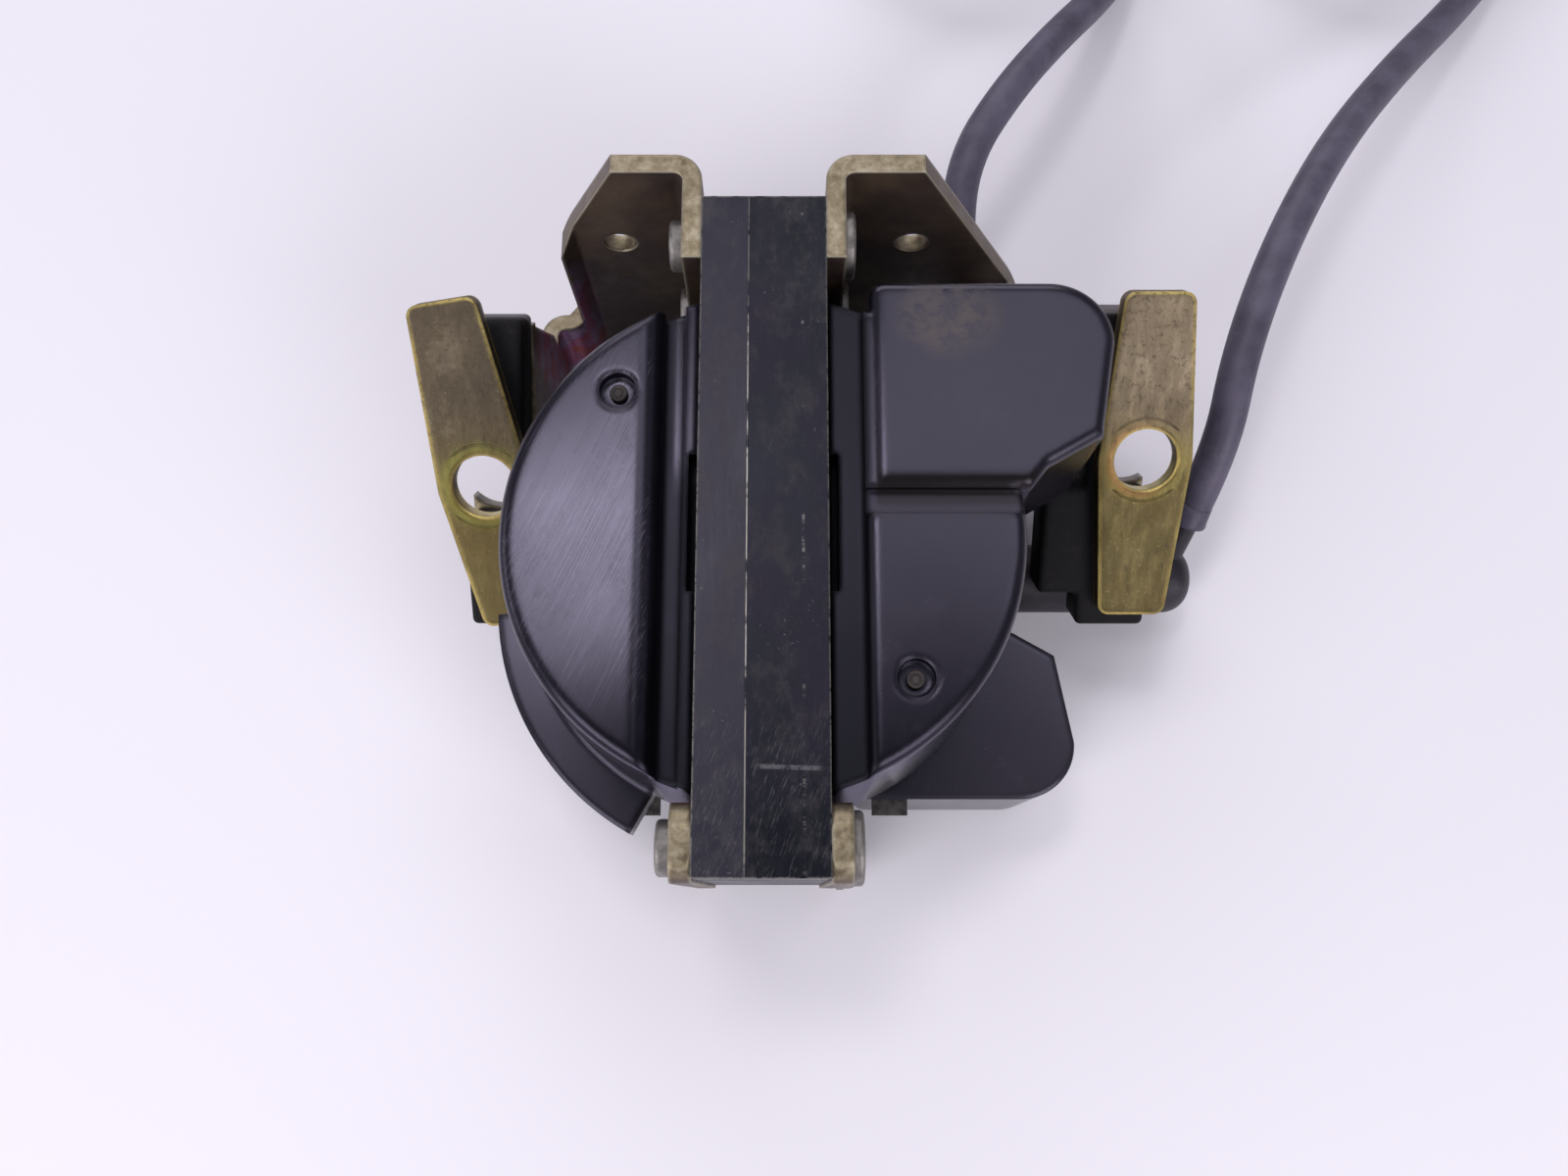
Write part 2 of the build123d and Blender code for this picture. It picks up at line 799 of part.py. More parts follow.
def make_cap(start, label):
    with BuildPart() as cap:
        with BuildSketch(Plane.YZ.offset(start[0])):
            with Locations((start[1], start[2])):
                Circle(cap_neck_radius)
        extrude(amount=-cap_neck_length)
        with BuildSketch(Plane.YZ.offset(start[0] - cap_neck_length)):
            with Locations((start[1], start[2])):
                Circle(cap_radius - cap_rib)
        extrude(amount=-(cap_length - cap_neck_length))
        with BuildSketch(Plane.YZ.offset(start[0] - cap_length + cap_neck_length)):
            with Locations((start[1], start[2])):
                Circle(cap_radius)
        extrude(amount=-cap_neck_length)
        rims = cap.edges().filter_by(GeomType.CIRCLE).group_by(Axis.X)
        fillet(rims[0], cap_round)
        with BuildSketch(Plane.YZ.offset(start[0] - cap_length)):
            with Locations((start[1], start[2])):
                Circle(cap_bore_radius)
        extrude(amount=cap_bore_depth, mode=Mode.SUBTRACT)
    save(cap, label)


for coil_side, coil_name in ((1, "upper"), (-1, "lower")):
    make_core(coil_side, coil_name)
    make_housing(coil_side, coil_name)
    make_windings(coil_side, coil_name)
    make_screws(coil_side, coil_name)
    make_blades(coil_side, coil_name)
    make_rivets(coil_side, coil_name + "_rivets")

with BuildPart() as core_spacer:
    with BuildSketch(Plane.XY.offset(middle - half_gap)):
        Rectangle(stack_width, core_length)
    extrude(amount=spacer_thickness)
save(core_spacer, "core_spacer")

make_bracket(
    -1, left_top_half, left_wide, left_wide_drop, arm_top,
    left_cheek, left_rubber_outer, left_rubber_high - tab_margin, "left_bracket",
)
make_bracket(
    1, right_top_half, right_wide, right_wide_drop, right_arm_top,
    right_cheek, right_rubber_outer, right_rubber_high - tab_margin, "right_bracket",
)
make_end_plate(-1, "left_end_plate")
make_end_plate(1, "right_end_plate")

make_ear(
    left_ear_x, left_ear_y, left_ear_turn, left_ear_lift, left_ear_trim, "left_mounting_ear"
)
make_ear(right_ear_x, right_ear_y, 0, 0, 0, "right_mounting_ear")
left_block = [
    (left_rubber_outer, left_rubber_low),
    (left_rubber_inner, left_rubber_low),
    (left_rubber_inner, rubber_window),
    (left_rubber_inner + left_rubber_flare, left_rubber_high),
    (left_rubber_outer, left_rubber_high),
]
right_block = [
    (right_cheek, right_rubber_low),
    (right_rubber_outer, right_rubber_low),
    (right_rubber_outer, right_rubber_high),
    (right_cheek, right_rubber_high),
]
make_rubber(-1, left_ear_y, left_block, "left_rubber_mount")
make_rubber(1, right_ear_y, right_block, "right_rubber_mount")

# Upper coil's elbow boot: down over the post, then out towards +Y
post_top = level(1, tower_floor)
with BuildPart() as upper_boot:
    with BuildSketch(Plane.XY.offset(outlet_height)):
        with Locations((upper_post_x, upper_post_y)):
            Circle(upper_boot_radius)
    extrude(amount=post_top - outlet_height)
    with Locations((upper_post_x, upper_post_y, outlet_height)):
        Sphere(upper_boot_radius)
    with BuildSketch(Plane.XZ.offset(-upper_post_y)):
        with Locations((upper_post_x, outlet_height)):
            Circle(outlet_radius)
    extrude(amount=-outlet_length)
    with BuildSketch(Plane.XY.offset(post_top - upper_post_length - fit_gap)):
        with Locations((upper_post_x, upper_post_y)):
            Circle(post_radius + post_fit)
    extrude(amount=upper_post_length + fit_gap, mode=Mode.SUBTRACT)
save(upper_boot, "upper_lead_boot")

with BuildPart() as upper_pin:
    with BuildSketch(Plane.XY.offset(post_top - upper_post_length)):
        with Locations((upper_post_x, upper_post_y)):
            Circle(pin_radius - post_fit)
    extrude(amount=upper_post_length)
save(upper_pin, "upper_high_voltage_pin")

# Lower coil's straight boot along +X, and the stub that carries its lead
with BuildPart() as lower_boot:
    with BuildSketch(Plane.YZ.offset(lower_boot_start)):
        with Locations((lower_post_y, lower_post_height)):
            Circle(lower_boot_radius)
    extrude(amount=lower_boot_end - lower_boot_start)
    fillet(lower_boot.edges().filter_by(GeomType.CIRCLE).sort_by(Axis.X)[-1], lower_boot_round)
    bore_along_x(
        post_radius + post_fit, lower_post_y, lower_post_height,
        lower_boot_start, lower_post_end + fit_gap,
    )
    stub_tip = Vector(*lead_b_route[0])
    stub_way = Vector(*lead_b_route[1]) - stub_tip
    with BuildSketch(Plane(origin=stub_tip, z_dir=stub_way)):
        Circle(stub_radius)
    extrude(amount=-stub_length)
save(lower_boot, "lower_lead_boot")

with BuildPart() as lower_pin:
    with BuildSketch(Plane.YZ.offset(lower_boot_start)):
        with Locations((lower_post_y, lower_post_height)):
            Circle(pin_radius - post_fit)
    extrude(amount=lower_post_end - lower_boot_start)
save(lower_pin, "lower_high_voltage_pin")

# Leads: run, wound-up length, tail, cap and tie
for letter, route, centre, entry, turns, tail in (
    ("a", lead_a_route, lead_a_centre, lead_a_entry, lead_a_turns, lead_a_tail),
    ("b", lead_b_route, lead_b_centre, lead_b_entry, lead_b_turns, lead_b_tail),
):
    make_cord(route, f"lead_{letter}_run")
    make_coil(centre, turns, f"lead_{letter}_coil")
    make_cord([coil_end(centre, entry, turns)] + tail, f"lead_{letter}_tail")
    make_tie(centre, turns, f"lead_{letter}_tie")
    make_cap(tail[-1], f"plug_cap_{letter}")

# Brass clips that grip the spark plugs, at the bottom of each cap's bore
with BuildPart() as clips:
    for tail in (lead_a_tail, lead_b_tail):
        bore_end = tail[-1][0] - cap_length + cap_bore_depth
        with BuildSketch(Plane.YZ.offset(bore_end)):
            with Locations((tail[-1][1], tail[-1][2])):
                Circle(clip_radius)
        extrude(amount=-clip_length)
save(clips, "plug_cap_clips")
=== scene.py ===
import math

import bmesh
import bpy
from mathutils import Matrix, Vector


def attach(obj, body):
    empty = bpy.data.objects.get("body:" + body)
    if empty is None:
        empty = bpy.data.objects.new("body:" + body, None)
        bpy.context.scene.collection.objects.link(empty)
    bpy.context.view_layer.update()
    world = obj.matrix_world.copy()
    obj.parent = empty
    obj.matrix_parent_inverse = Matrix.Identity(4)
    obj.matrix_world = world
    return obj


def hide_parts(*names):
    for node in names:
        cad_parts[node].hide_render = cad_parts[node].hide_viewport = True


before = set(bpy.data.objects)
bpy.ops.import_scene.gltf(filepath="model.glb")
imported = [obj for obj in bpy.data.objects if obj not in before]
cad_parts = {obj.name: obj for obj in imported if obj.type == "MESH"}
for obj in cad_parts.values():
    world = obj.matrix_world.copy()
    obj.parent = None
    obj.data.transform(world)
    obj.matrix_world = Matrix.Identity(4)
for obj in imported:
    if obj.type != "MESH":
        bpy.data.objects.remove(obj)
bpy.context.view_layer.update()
scene = bpy.context.scene
scene.view_settings.view_transform = "Standard"
bodyName = "root"
mm = 0.001

# Camera first, because the leads are wound up outside its view
cameraValues = {
    "place": (0.0032, -0.0564, 0.2526),
    "tiltDegrees": 14.1,
    "lens": 28.58,
    "sensor": 36.0,
}

cameraData = bpy.data.cameras.new("camera")
cameraData.lens = cameraValues["lens"]
cameraData.sensor_width = cameraValues["sensor"]
cameraData.clip_start = 0.01
camera = bpy.data.objects.new("camera", cameraData)
camera.location = cameraValues["place"]
camera.rotation_euler = (math.radians(cameraValues["tiltDegrees"]), 0, 0)
scene.collection.objects.link(camera)
scene.camera = camera
print("camera placed")


waveScale = 0.314  # the wave texture's scale times its pitch


# Shader maths: a value takes part in sums and adds its own nodes
class Value:
    def __init__(self, finish, socket):
        self.finish = finish
        self.socket = socket

    def math(self, operation, first, second=0.0):
        node = self.finish.node("ShaderNodeMath", {"operation": operation}, {0: first, 1: second})
        return Value(self.finish, node.outputs[0])

    def __add__(self, other):
        return self.math("ADD", self, other)

    def __radd__(self, other):
        return self.math("ADD", other, self)

    def __sub__(self, other):
        return self.math("SUBTRACT", self, other)

    def __rsub__(self, other):
        return self.math("SUBTRACT", other, self)

    def __mul__(self, other):
        return self.math("MULTIPLY", self, other)

    def __rmul__(self, other):
        return self.math("MULTIPLY", other, self)

    def __truediv__(self, other):
        return self.math("DIVIDE", self, other)

    def __pow__(self, other):
        return self.math("POWER", self, other)

    def __abs__(self):
        return self.math("ABSOLUTE", self)

    def least(self, other):
        return self.math("MINIMUM", self, other)

    def step(self, low, high):
        node = self.finish.node(
            "ShaderNodeMapRange",
            {"interpolation_type": "SMOOTHSTEP"},
            {"Value": self, "From Min": low, "From Max": high},
        )
        return Value(self.finish, node.outputs[0])

    def near(self, centre, width):
        return 1.0 - abs(self - centre).step(width * 0.4, width)


class Finish:
    def __init__(self, name, roughness=0.5, metallic=0.0, specular=0.5, tint=(1.0, 1.0, 1.0)):
        self.material = bpy.data.materials.new(name)
        self.material.use_nodes = True
        self.tree = self.material.node_tree
        self.shader = self.tree.nodes["Principled BSDF"]
        self.shader.inputs["Roughness"].default_value = roughness
        self.shader.inputs["Metallic"].default_value = metallic
        self.shader.inputs["Specular IOR Level"].default_value = specular
        self.shader.inputs["Specular Tint"].default_value = (*tint, 1.0)
        self.place = self.node("ShaderNodeTexCoord").outputs["Object"]
        axes = self.node("ShaderNodeSeparateXYZ", {}, {0: self.place})
        self.x, self.y, self.z = (Value(self, axes.outputs[i]) for i in range(3))
        facing = self.node("ShaderNodeNewGeometry").outputs["Normal"]
        self.facing = facing
        turn = self.node("ShaderNodeSeparateXYZ", {}, {0: facing})
        self.faceX, self.faceY, self.faceZ = (Value(self, turn.outputs[i]) for i in range(3))

    def node(self, kind, settings=None, inputs=None):
        made = self.tree.nodes.new(kind)
        for key, value in (settings or {}).items():
            if key == "stops":
                ramp = made.color_ramp
                while len(ramp.elements) < len(value):
                    ramp.elements.new(0.5)
                for element, (spot, colour) in zip(ramp.elements, value):
                    element.position = spot
                    element.color = (*colour, 1.0)
            else:
                setattr(made, key, value)
        for key, value in (inputs or {}).items():
            self.feed(made.inputs[key], value)
        return made

    def feed(self, socket, value):
        if isinstance(value, Value):
            value = value.socket
        if isinstance(value, bpy.types.NodeSocket):
            self.tree.links.new(value, socket)
        elif isinstance(value, tuple) and len(value) == 3 and socket.type == "RGBA":
            socket.default_value = (*value, 1.0)
        else:
            socket.default_value = value

    def noise(self, size, detail=4.0, rough=0.55, stretch=(1, 1, 1), shift=(0, 0, 0), turn=0.0):
        spot = self.place
        if stretch != (1, 1, 1) or shift != (0, 0, 0) or turn:
            scale = tuple(1 / a for a in stretch)
            inputs = {"Vector": self.place, "Scale": scale, "Location": shift, "Rotation": (0, 0, turn)}
            spot = self.node("ShaderNodeMapping", {"vector_type": "TEXTURE"}, inputs).outputs[0]
        made = self.node(
            "ShaderNodeTexNoise",
            {"noise_dimensions": "3D"},
            {"Vector": spot, "Scale": 1.0 / size, "Detail": detail, "Roughness": rough},
        )
        return Value(self, made.outputs[0])

    def stripes(self, axis, pitch, distortion):
        inputs = {"Vector": self.place, "Scale": waveScale / pitch, "Distortion": distortion}
        settings = {"wave_type": "BANDS", "bands_direction": axis, "wave_profile": "SIN"}
        return Value(self, self.node("ShaderNodeTexWave", settings, inputs).outputs[1])

    def blend(self, factor, first, second):
        inputs = {0: factor, 6: first, 7: second}
        made = self.node("ShaderNodeMix", {"data_type": "RGBA", "clamp_factor": True}, inputs)
        return made.outputs[2]

    def ramp(self, factor, stops):
        return self.node("ShaderNodeValToRGB", {"stops": stops}, {0: factor}).outputs[0]

    def edge(self, radius, samples=6):
        bevel = self.node("ShaderNodeBevel", {"samples": samples}, {"Radius": radius})
        dot = self.node(
            "ShaderNodeVectorMath", {"operation": "DOT_PRODUCT"}, {0: bevel.outputs[0], 1: self.facing}
        )
        return bevel.outputs[0], 1.0 - Value(self, dot.outputs[1])

    def raised(self, height, depth, normal=None):
        inputs = {"Height": height, "Distance": depth, "Strength": 1.0}
        if normal is not None:
            inputs["Normal"] = normal
        return self.node("ShaderNodeBump", {}, inputs).outputs[0]

    def put(self, **sockets):
        for key, value in sockets.items():
            self.feed(self.shader.inputs[key.replace("_", " ")], value)


def scaled(colour, share):
    return tuple(c * share for c in colour)


print("shader tools ready")


# Finishes, with places and sizes in metres
plasticValues = {
    "colour": (0.0045, 0.0038, 0.0070),
    "dust": (0.085, 0.072, 0.058),
    "haze": (0.024, 0.021, 0.031),
    "worn": (0.090, 0.082, 0.108),
    "grooveShadeColour": (0.0060, 0.0075, 0.0095),
    "lowerCoilPaintedLight": (0.052, 0.048, 0.062),
    "ledgeColour": (0.016, 0.013, 0.011),
    "tint": (0.80, 0.745, 1.0),
    "sheen": 0.215,
    "specular": 0.62,
    "round": 0.0017,
    "rim": 0.00045,
    "scratchPitch": 0.00034,
    "scratchStretch": (2.0, 0.020, 1),
    "scratchTurn": -24,
    "scratchMiddle": 0.002,
    "halfMoon": (-0.018, -0.016),
    "upperCoil": (0.055, 0.065),
    "lowerCoil": (0.030, 0.050),
    "grooveEdge": (0.0158, 0.0176),
    "nearEnd": (-0.036, -0.014),
    "ledgeStart": (0.0168, 0.0178),
    "ledgeMiddle": 0.0045,
    "ledgeWidth": 0.0034,
    "stainPlace": (0.0290, 0.0325),
    "stainReach": (0.010, 0.008),
    "relief": 0.00001,
}


def makeMoulding(name):
    v = plasticValues
    f = Finish(name, roughness=v["sheen"], specular=v["specular"], tint=v["tint"])
    onTop = f.faceZ.step(0.5, 0.95)
    upper = f.z.step(*v["upperCoil"])
    smooth = f.edge(v["round"], 10)[0]
    rim = f.edge(v["rim"])[1].step(0.03, 0.25)

    # Wear: scratches across the half-moon, a stain on the tower and haze all over
    cloud = f.noise(0.022, 3)
    fine = f.noise(0.0009, 3)
    grain = f.noise(0.00025, 2)
    scratch = f.noise(v["scratchPitch"], 3, 0.6, v["scratchStretch"], turn=math.radians(v["scratchTurn"]))
    rubbed = (1.0 - f.x.step(*v["halfMoon"])) * (1.0 - abs(f.y - v["scratchMiddle"]).step(0.018, 0.038))
    worn = 0.10 + 0.90 * rubbed * upper
    scratched = f.noise(0.016, 2, shift=(0.3, 0.1, 0)).step(0.34, 0.56)
    scratchMask = worn * scratch.step(0.54, 0.66) * scratched * onTop
    stainX = abs(f.x - v["stainPlace"][0]) / v["stainReach"][0]
    stainY = abs(f.y - v["stainPlace"][1]) / v["stainReach"][1]
    stain = (1.0 - (stainX * stainX + stainY * stainY)).step(0.0, 0.9)
    stain = stain * f.noise(0.0035, 5, 0.7).step(0.32, 0.60) * f.faceZ.step(0.5, 0.9)
    haze = f.noise(0.006, 5, 0.7).step(0.52, 0.75) * 0.30

    # Painted shade: Metallic over the dark colour dims the reflections in the grooves beside the core, at
    # the near end and on the ledge at the tower's foot; the grooves also get their own colour and the
    # ledge a brown dirt line
    lit = f.y.step(0.004, 0.014) * f.x.step(-0.0146, -0.0138) * (1.0 - f.x.step(-0.001, 0.001))
    groove = (1.0 - abs(f.x).step(*v["grooveEdge"])) * (1.0 - lit)
    nearEnd = (1.0 - f.y.step(*v["nearEnd"])) * upper
    ledge = f.x.step(*v["ledgeStart"]) * f.y.near(v["ledgeMiddle"], v["ledgeWidth"]) * upper
    # painted light: the lower coil, lying in the upper coil's shade, is painted paler
    lower = 1.0 - f.z.step(*v["lowerCoil"])

    base = f.blend(cloud.step(0.35, 0.7), scaled(v["colour"], 0.82), scaled(v["colour"], 1.25))
    base = f.blend(stain * 0.7, base, v["dust"])
    base = f.blend(haze, base, v["haze"])
    base = f.blend((rim * 0.60 + scratchMask * 0.55).least(1.0), base, v["worn"])
    # painted shade: the grooves beside the core get their own teal-black colour
    base = f.blend(groove * 0.8, base, v["grooveShadeColour"])
    base = f.blend(lower * 0.3, base, v["lowerCoilPaintedLight"])
    base = f.blend(ledge * 0.7, base, v["ledgeColour"])
    rough = v["sheen"] + cloud.step(0.3, 0.7) * 0.05 + haze * 0.09 + stain * 0.25
    rough = rough + (scratch - 0.5) * 0.16 * onTop * worn + (fine - 0.5) * 0.05 + groove * 0.15
    height = grain * 0.06 + fine * 0.08 + scratch * onTop * worn * 0.24
    # painted shade: Metallic over the dark colour dims the grooves, the near end and the ledge
    metal = (groove * 0.6 + nearEnd * 0.45 + ledge * 0.55).least(0.65)
    f.put(Base_Color=base, Roughness=rough, Metallic=metal)
    f.put(Normal=f.raised(height, v["relief"], smooth))
    return f.material


coreValues = {
    "blueBlack": (0.005, 0.007, 0.011),
    "violetBlack": (0.015, 0.013, 0.022),
    "leftSide": (0.026, 0.024, 0.036),
    "streak": (0.07, 0.066, 0.085),
    "dust": (0.070, 0.062, 0.066),
    "brushed": (0.20, 0.195, 0.21),
    "bare": (0.42, 0.40, 0.37),
    "seams": (-0.0024, 0.0061),
    "seamWidth": 0.00018,
    "secondWidth": 0.0003,
    "scuffPlace": (-0.0378, 0.03),
    "scuffWidth": 0.00045,
    "nearEnd": (-0.036, -0.026),
    "sheet": 0.0005,
    "relief": 0.00002,
}


def makeCorePaint(name):
    v = coreValues
    f = Finish(name, roughness=0.42, specular=0.34, tint=(0.88, 0.86, 1.0))
    smooth, edge = f.edge(0.0005)
    onTop = abs(f.faceZ).step(0.6, 0.95)
    firstSeam, secondSeam = v["seams"]
    rightSide = f.x.step(firstSeam - 0.0002, firstSeam + 0.0002)
    cloud = f.noise(0.014, 4, 0.6, (1.6, 0.7, 1))
    streak = f.noise(0.0012, 4, 0.7, (3.0, 0.25, 0.25))
    fleck = f.noise(0.0005, 3, 0.7)

    # Bare metal: the worn seams between the stacks, chipped edges and specks
    seam = f.x.near(firstSeam, v["seamWidth"])
    seamWorn = seam * f.noise(0.004, 3, 0.6, (0.2, 1, 1)).step(0.36, 0.5)
    seamShare = 0.25 + (1.0 - f.y.step(0.030, 0.036)) * 0.35
    secondWorn = f.noise(0.0030, 4, 0.7, (0.2, 1, 1)).step(0.56, 0.64)
    second = f.x.near(secondSeam, v["secondWidth"]) * secondWorn
    chips = edge.step(0.01, 0.10) * f.noise(0.0020, 5, 0.8).step(0.40, 0.52)
    specks = f.noise(0.0007, 3, 0.6, shift=(0.2, 0, 0)).step(0.66, 0.74) * f.noise(0.01, 2).step(0.45, 0.6)
    bare = (chips * 0.8 + (seamWorn * seamShare + second * 0.24) * onTop + specks * 0.25).least(1.0)

    # Rubbed paint: one scuffed line, brushing at the near end, dust and long marks
    scuffY, scuffSlope = v["scuffPlace"]
    scuffSpan = f.x.step(-0.0016, 0.0005) * (1.0 - f.x.step(0.0075, 0.009))
    scuff = (f.y + f.x * scuffSlope).near(scuffY, v["scuffWidth"]) * scuffSpan
    scuff = scuff * f.noise(0.0014, 5, 0.8).step(0.36, 0.52) * onTop
    brushed = f.noise(0.0008, 5, 0.7, (4, 0.35, 1), turn=math.radians(-20)).step(0.54, 0.70)
    brushed = brushed * (1.0 - f.y.step(*v["nearEnd"])) * onTop
    dusty = f.noise(0.0045, 6, 0.75, (1, 0.6, 1), shift=(0.1, 0.2, 0)).step(0.46, 0.68) * onTop
    marks = f.noise(0.0006, 4, 0.7, (2.2, 0.14, 1), turn=math.radians(-22)).step(0.62, 0.72)
    marks = marks * f.noise(0.009, 3, 0.6, shift=(0.4, 0, 0)).step(0.46, 0.6) * onTop

    base = f.blend(cloud.step(0.3, 0.72), v["blueBlack"], v["violetBlack"])
    base = f.blend((1.0 - rightSide) * 0.6 * onTop, base, v["leftSide"])
    base = f.blend(streak.step(0.55, 0.8) * 0.22, base, v["streak"])
    base = f.blend((dusty * 0.35 + marks * 0.5).least(1.0), base, v["dust"])
    base = f.blend((brushed * 0.34 + scuff * 0.45).least(1.0), base, v["brushed"])
    base = f.blend(bare, base, v["bare"])
    # painted shade: Metallic over the dark colour dims the reflections on the core's top, most of all on
    # its right half
    paintedShadeSide = rightSide * (1.0 - f.y.step(0.028, 0.042) * 0.6)  # reflects less than the left side
    rough = 0.33 + cloud.step(0.3, 0.7) * 0.12 + (streak - 0.5) * 0.2 + dusty * 0.12 - bare * 0.08
    metal = (bare * 0.7 + (paintedShadeSide * 0.38 + 0.14) * onTop).least(0.8)
    f.put(Base_Color=base, Metallic=metal, Roughness=rough)

    # The stack's sheets show as fine steps at its two ends
    ends = abs(f.faceY).step(0.5, 0.9)
    side = 1.0 - abs(f.faceX).step(0.5, 0.9)
    sheets = f.stripes("X", v["sheet"], 0.4) * side * ends
    height = sheets * 4.0 - seam * 3.0 * onTop + fleck * 0.25 + streak * 0.4 - bare * 0.8
    f.put(Normal=f.raised(height, v["relief"], smooth))
    return f.material


zincValues = {
    "brown": (0.058, 0.039, 0.034),
    "lightBrown": (0.115, 0.078, 0.052),
    "patch": (0.22, 0.16, 0.09),
    "worn": (0.66, 0.60, 0.48),
    "grime": (0.07, 0.05, 0.035),
    "cut": [(0.30, (0.125, 0.096, 0.056)), (0.50, (0.26, 0.215, 0.140)), (0.72, (0.46, 0.405, 0.310))],
    "rainbow": [
        (0.32, (0.80, 0.13, 0.09)),
        (0.47, (0.70, 0.22, 0.48)),
        (0.58, (0.70, 0.52, 0.86)),
        (0.70, (0.45, 0.33, 0.18)),
    ],
    "silver": [(0.35, (0.14, 0.13, 0.125)), (0.65, (0.36, 0.345, 0.33))],
    "rainbowMiddle": -0.0395,
    "rainbowWidth": 0.0070,
    "silverStart": (0.0395, 0.0415),
    "relief": 0.00006,
}


def makeBracketZinc(name):
    v = zincValues
    f = Finish(name, roughness=0.42, metallic=0.5)
    smooth, edge = f.edge(0.0011, 8)
    cloud = f.noise(0.012, 4, 0.6)
    speck = f.noise(0.00055, 4, 0.75)
    patch = f.noise(0.0028, 5, 0.7)
    up = abs(f.faceZ).step(0.35, 0.8)
    wall = f.blend(cloud.step(0.35, 0.7), v["brown"], v["lightBrown"])
    wall = f.blend(patch.step(0.58, 0.75) * 0.4, wall, v["patch"])

    # Violet and red shine inside the left arm, bare silver on the outer tabs
    rainbow = f.ramp(f.noise(0.006, 3, 0.6, shift=(0, 0.4, 0)), v["rainbow"])
    arm = f.x.near(v["rainbowMiddle"], v["rainbowWidth"]) * (1.0 - f.faceY.step(-0.2, 0.3))
    arm = arm * (1.0 - up) * (1.0 - f.z.step(0.040, 0.050))
    silver = abs(f.x).step(*v["silverStart"]) * (1.0 - f.y.step(0.036, 0.040))
    silver = silver * (1.0 - f.z.step(0.050, 0.058))
    wall = f.blend(arm * 0.75, wall, rainbow)
    wall = f.blend(silver * 0.85, wall, f.ramp(patch, v["silver"]))

    # upward faces get lighter colours and more Metallic than the brown walls: partly their own bare cut
    # edges, partly painted light, with the walls as the painted-shade side
    base = f.blend(up, wall, f.ramp(patch, v["cut"]))
    spark = speck.step(0.62, 0.74) * (0.25 + edge.step(0.02, 0.2) * 0.75)
    base = f.blend((edge.step(0.03, 0.25) * 0.55 + spark * 0.5).least(1.0), base, v["worn"])
    grime = f.noise(0.0014, 5, 0.75, shift=(0.2, 0.2, 0)).step(0.60, 0.72)
    base = f.blend(grime * 0.45, base, v["grime"])
    rough = 0.34 + patch.step(0.3, 0.7) * 0.16 + grime * 0.25 - spark * 0.12
    f.put(Base_Color=base, Roughness=rough, Metallic=0.45 + up * 0.25 - grime * 0.3)
    f.put(Normal=f.raised(speck * 0.6 + patch * 0.5, v["relief"], smooth))
    return f.material


# The two ears differ: each pair below is for the left ear and the right one; the two scales of the upper
# and lower colours are painted light and shade
earValues = {
    "olive": [(0.3, (0.108, 0.078, 0.028)), (0.55, (0.135, 0.104, 0.042)), (0.75, (0.165, 0.130, 0.054))],
    "dull": [(0.3, (0.115, 0.088, 0.062)), (0.6, (0.150, 0.118, 0.080)), (0.8, (0.24, 0.20, 0.145))],
    "rings": (
        [
            (0.18, (0.20, 0.11, 0.09)),
            (0.23, (0.26, 0.22, 0.05)),
            (0.34, (0.27, 0.29, 0.05)),
            (0.50, (0.24, 0.18, 0.05)),
        ],
        [
            (0.18, (0.36, 0.11, 0.08)),
            (0.25, (0.30, 0.15, 0.05)),
            (0.36, (0.25, 0.20, 0.05)),
            (0.50, (0.22, 0.17, 0.06)),
        ],
    ),
    "greenRing": (0.21, 0.19, 0.05),
    "holeWall": (0.66, 0.58, 0.28),
    "worn": (0.86, 0.68, 0.24),
    "grime": (0.060, 0.046, 0.032),
    "freckle": (0.070, 0.052, 0.036),
    "speck": (0.42, 0.36, 0.20),
    "holes": ((-0.0489, 0.0134), (0.0664, 0.0183)),
    "holeRadius": 0.0055,
    "tilt": 33.5,
    "upperPaintedLight": (0.72, 1.40),
    "lowerPaintedLight": (1.0, 0.66),
    "relief": 0.00006,
}


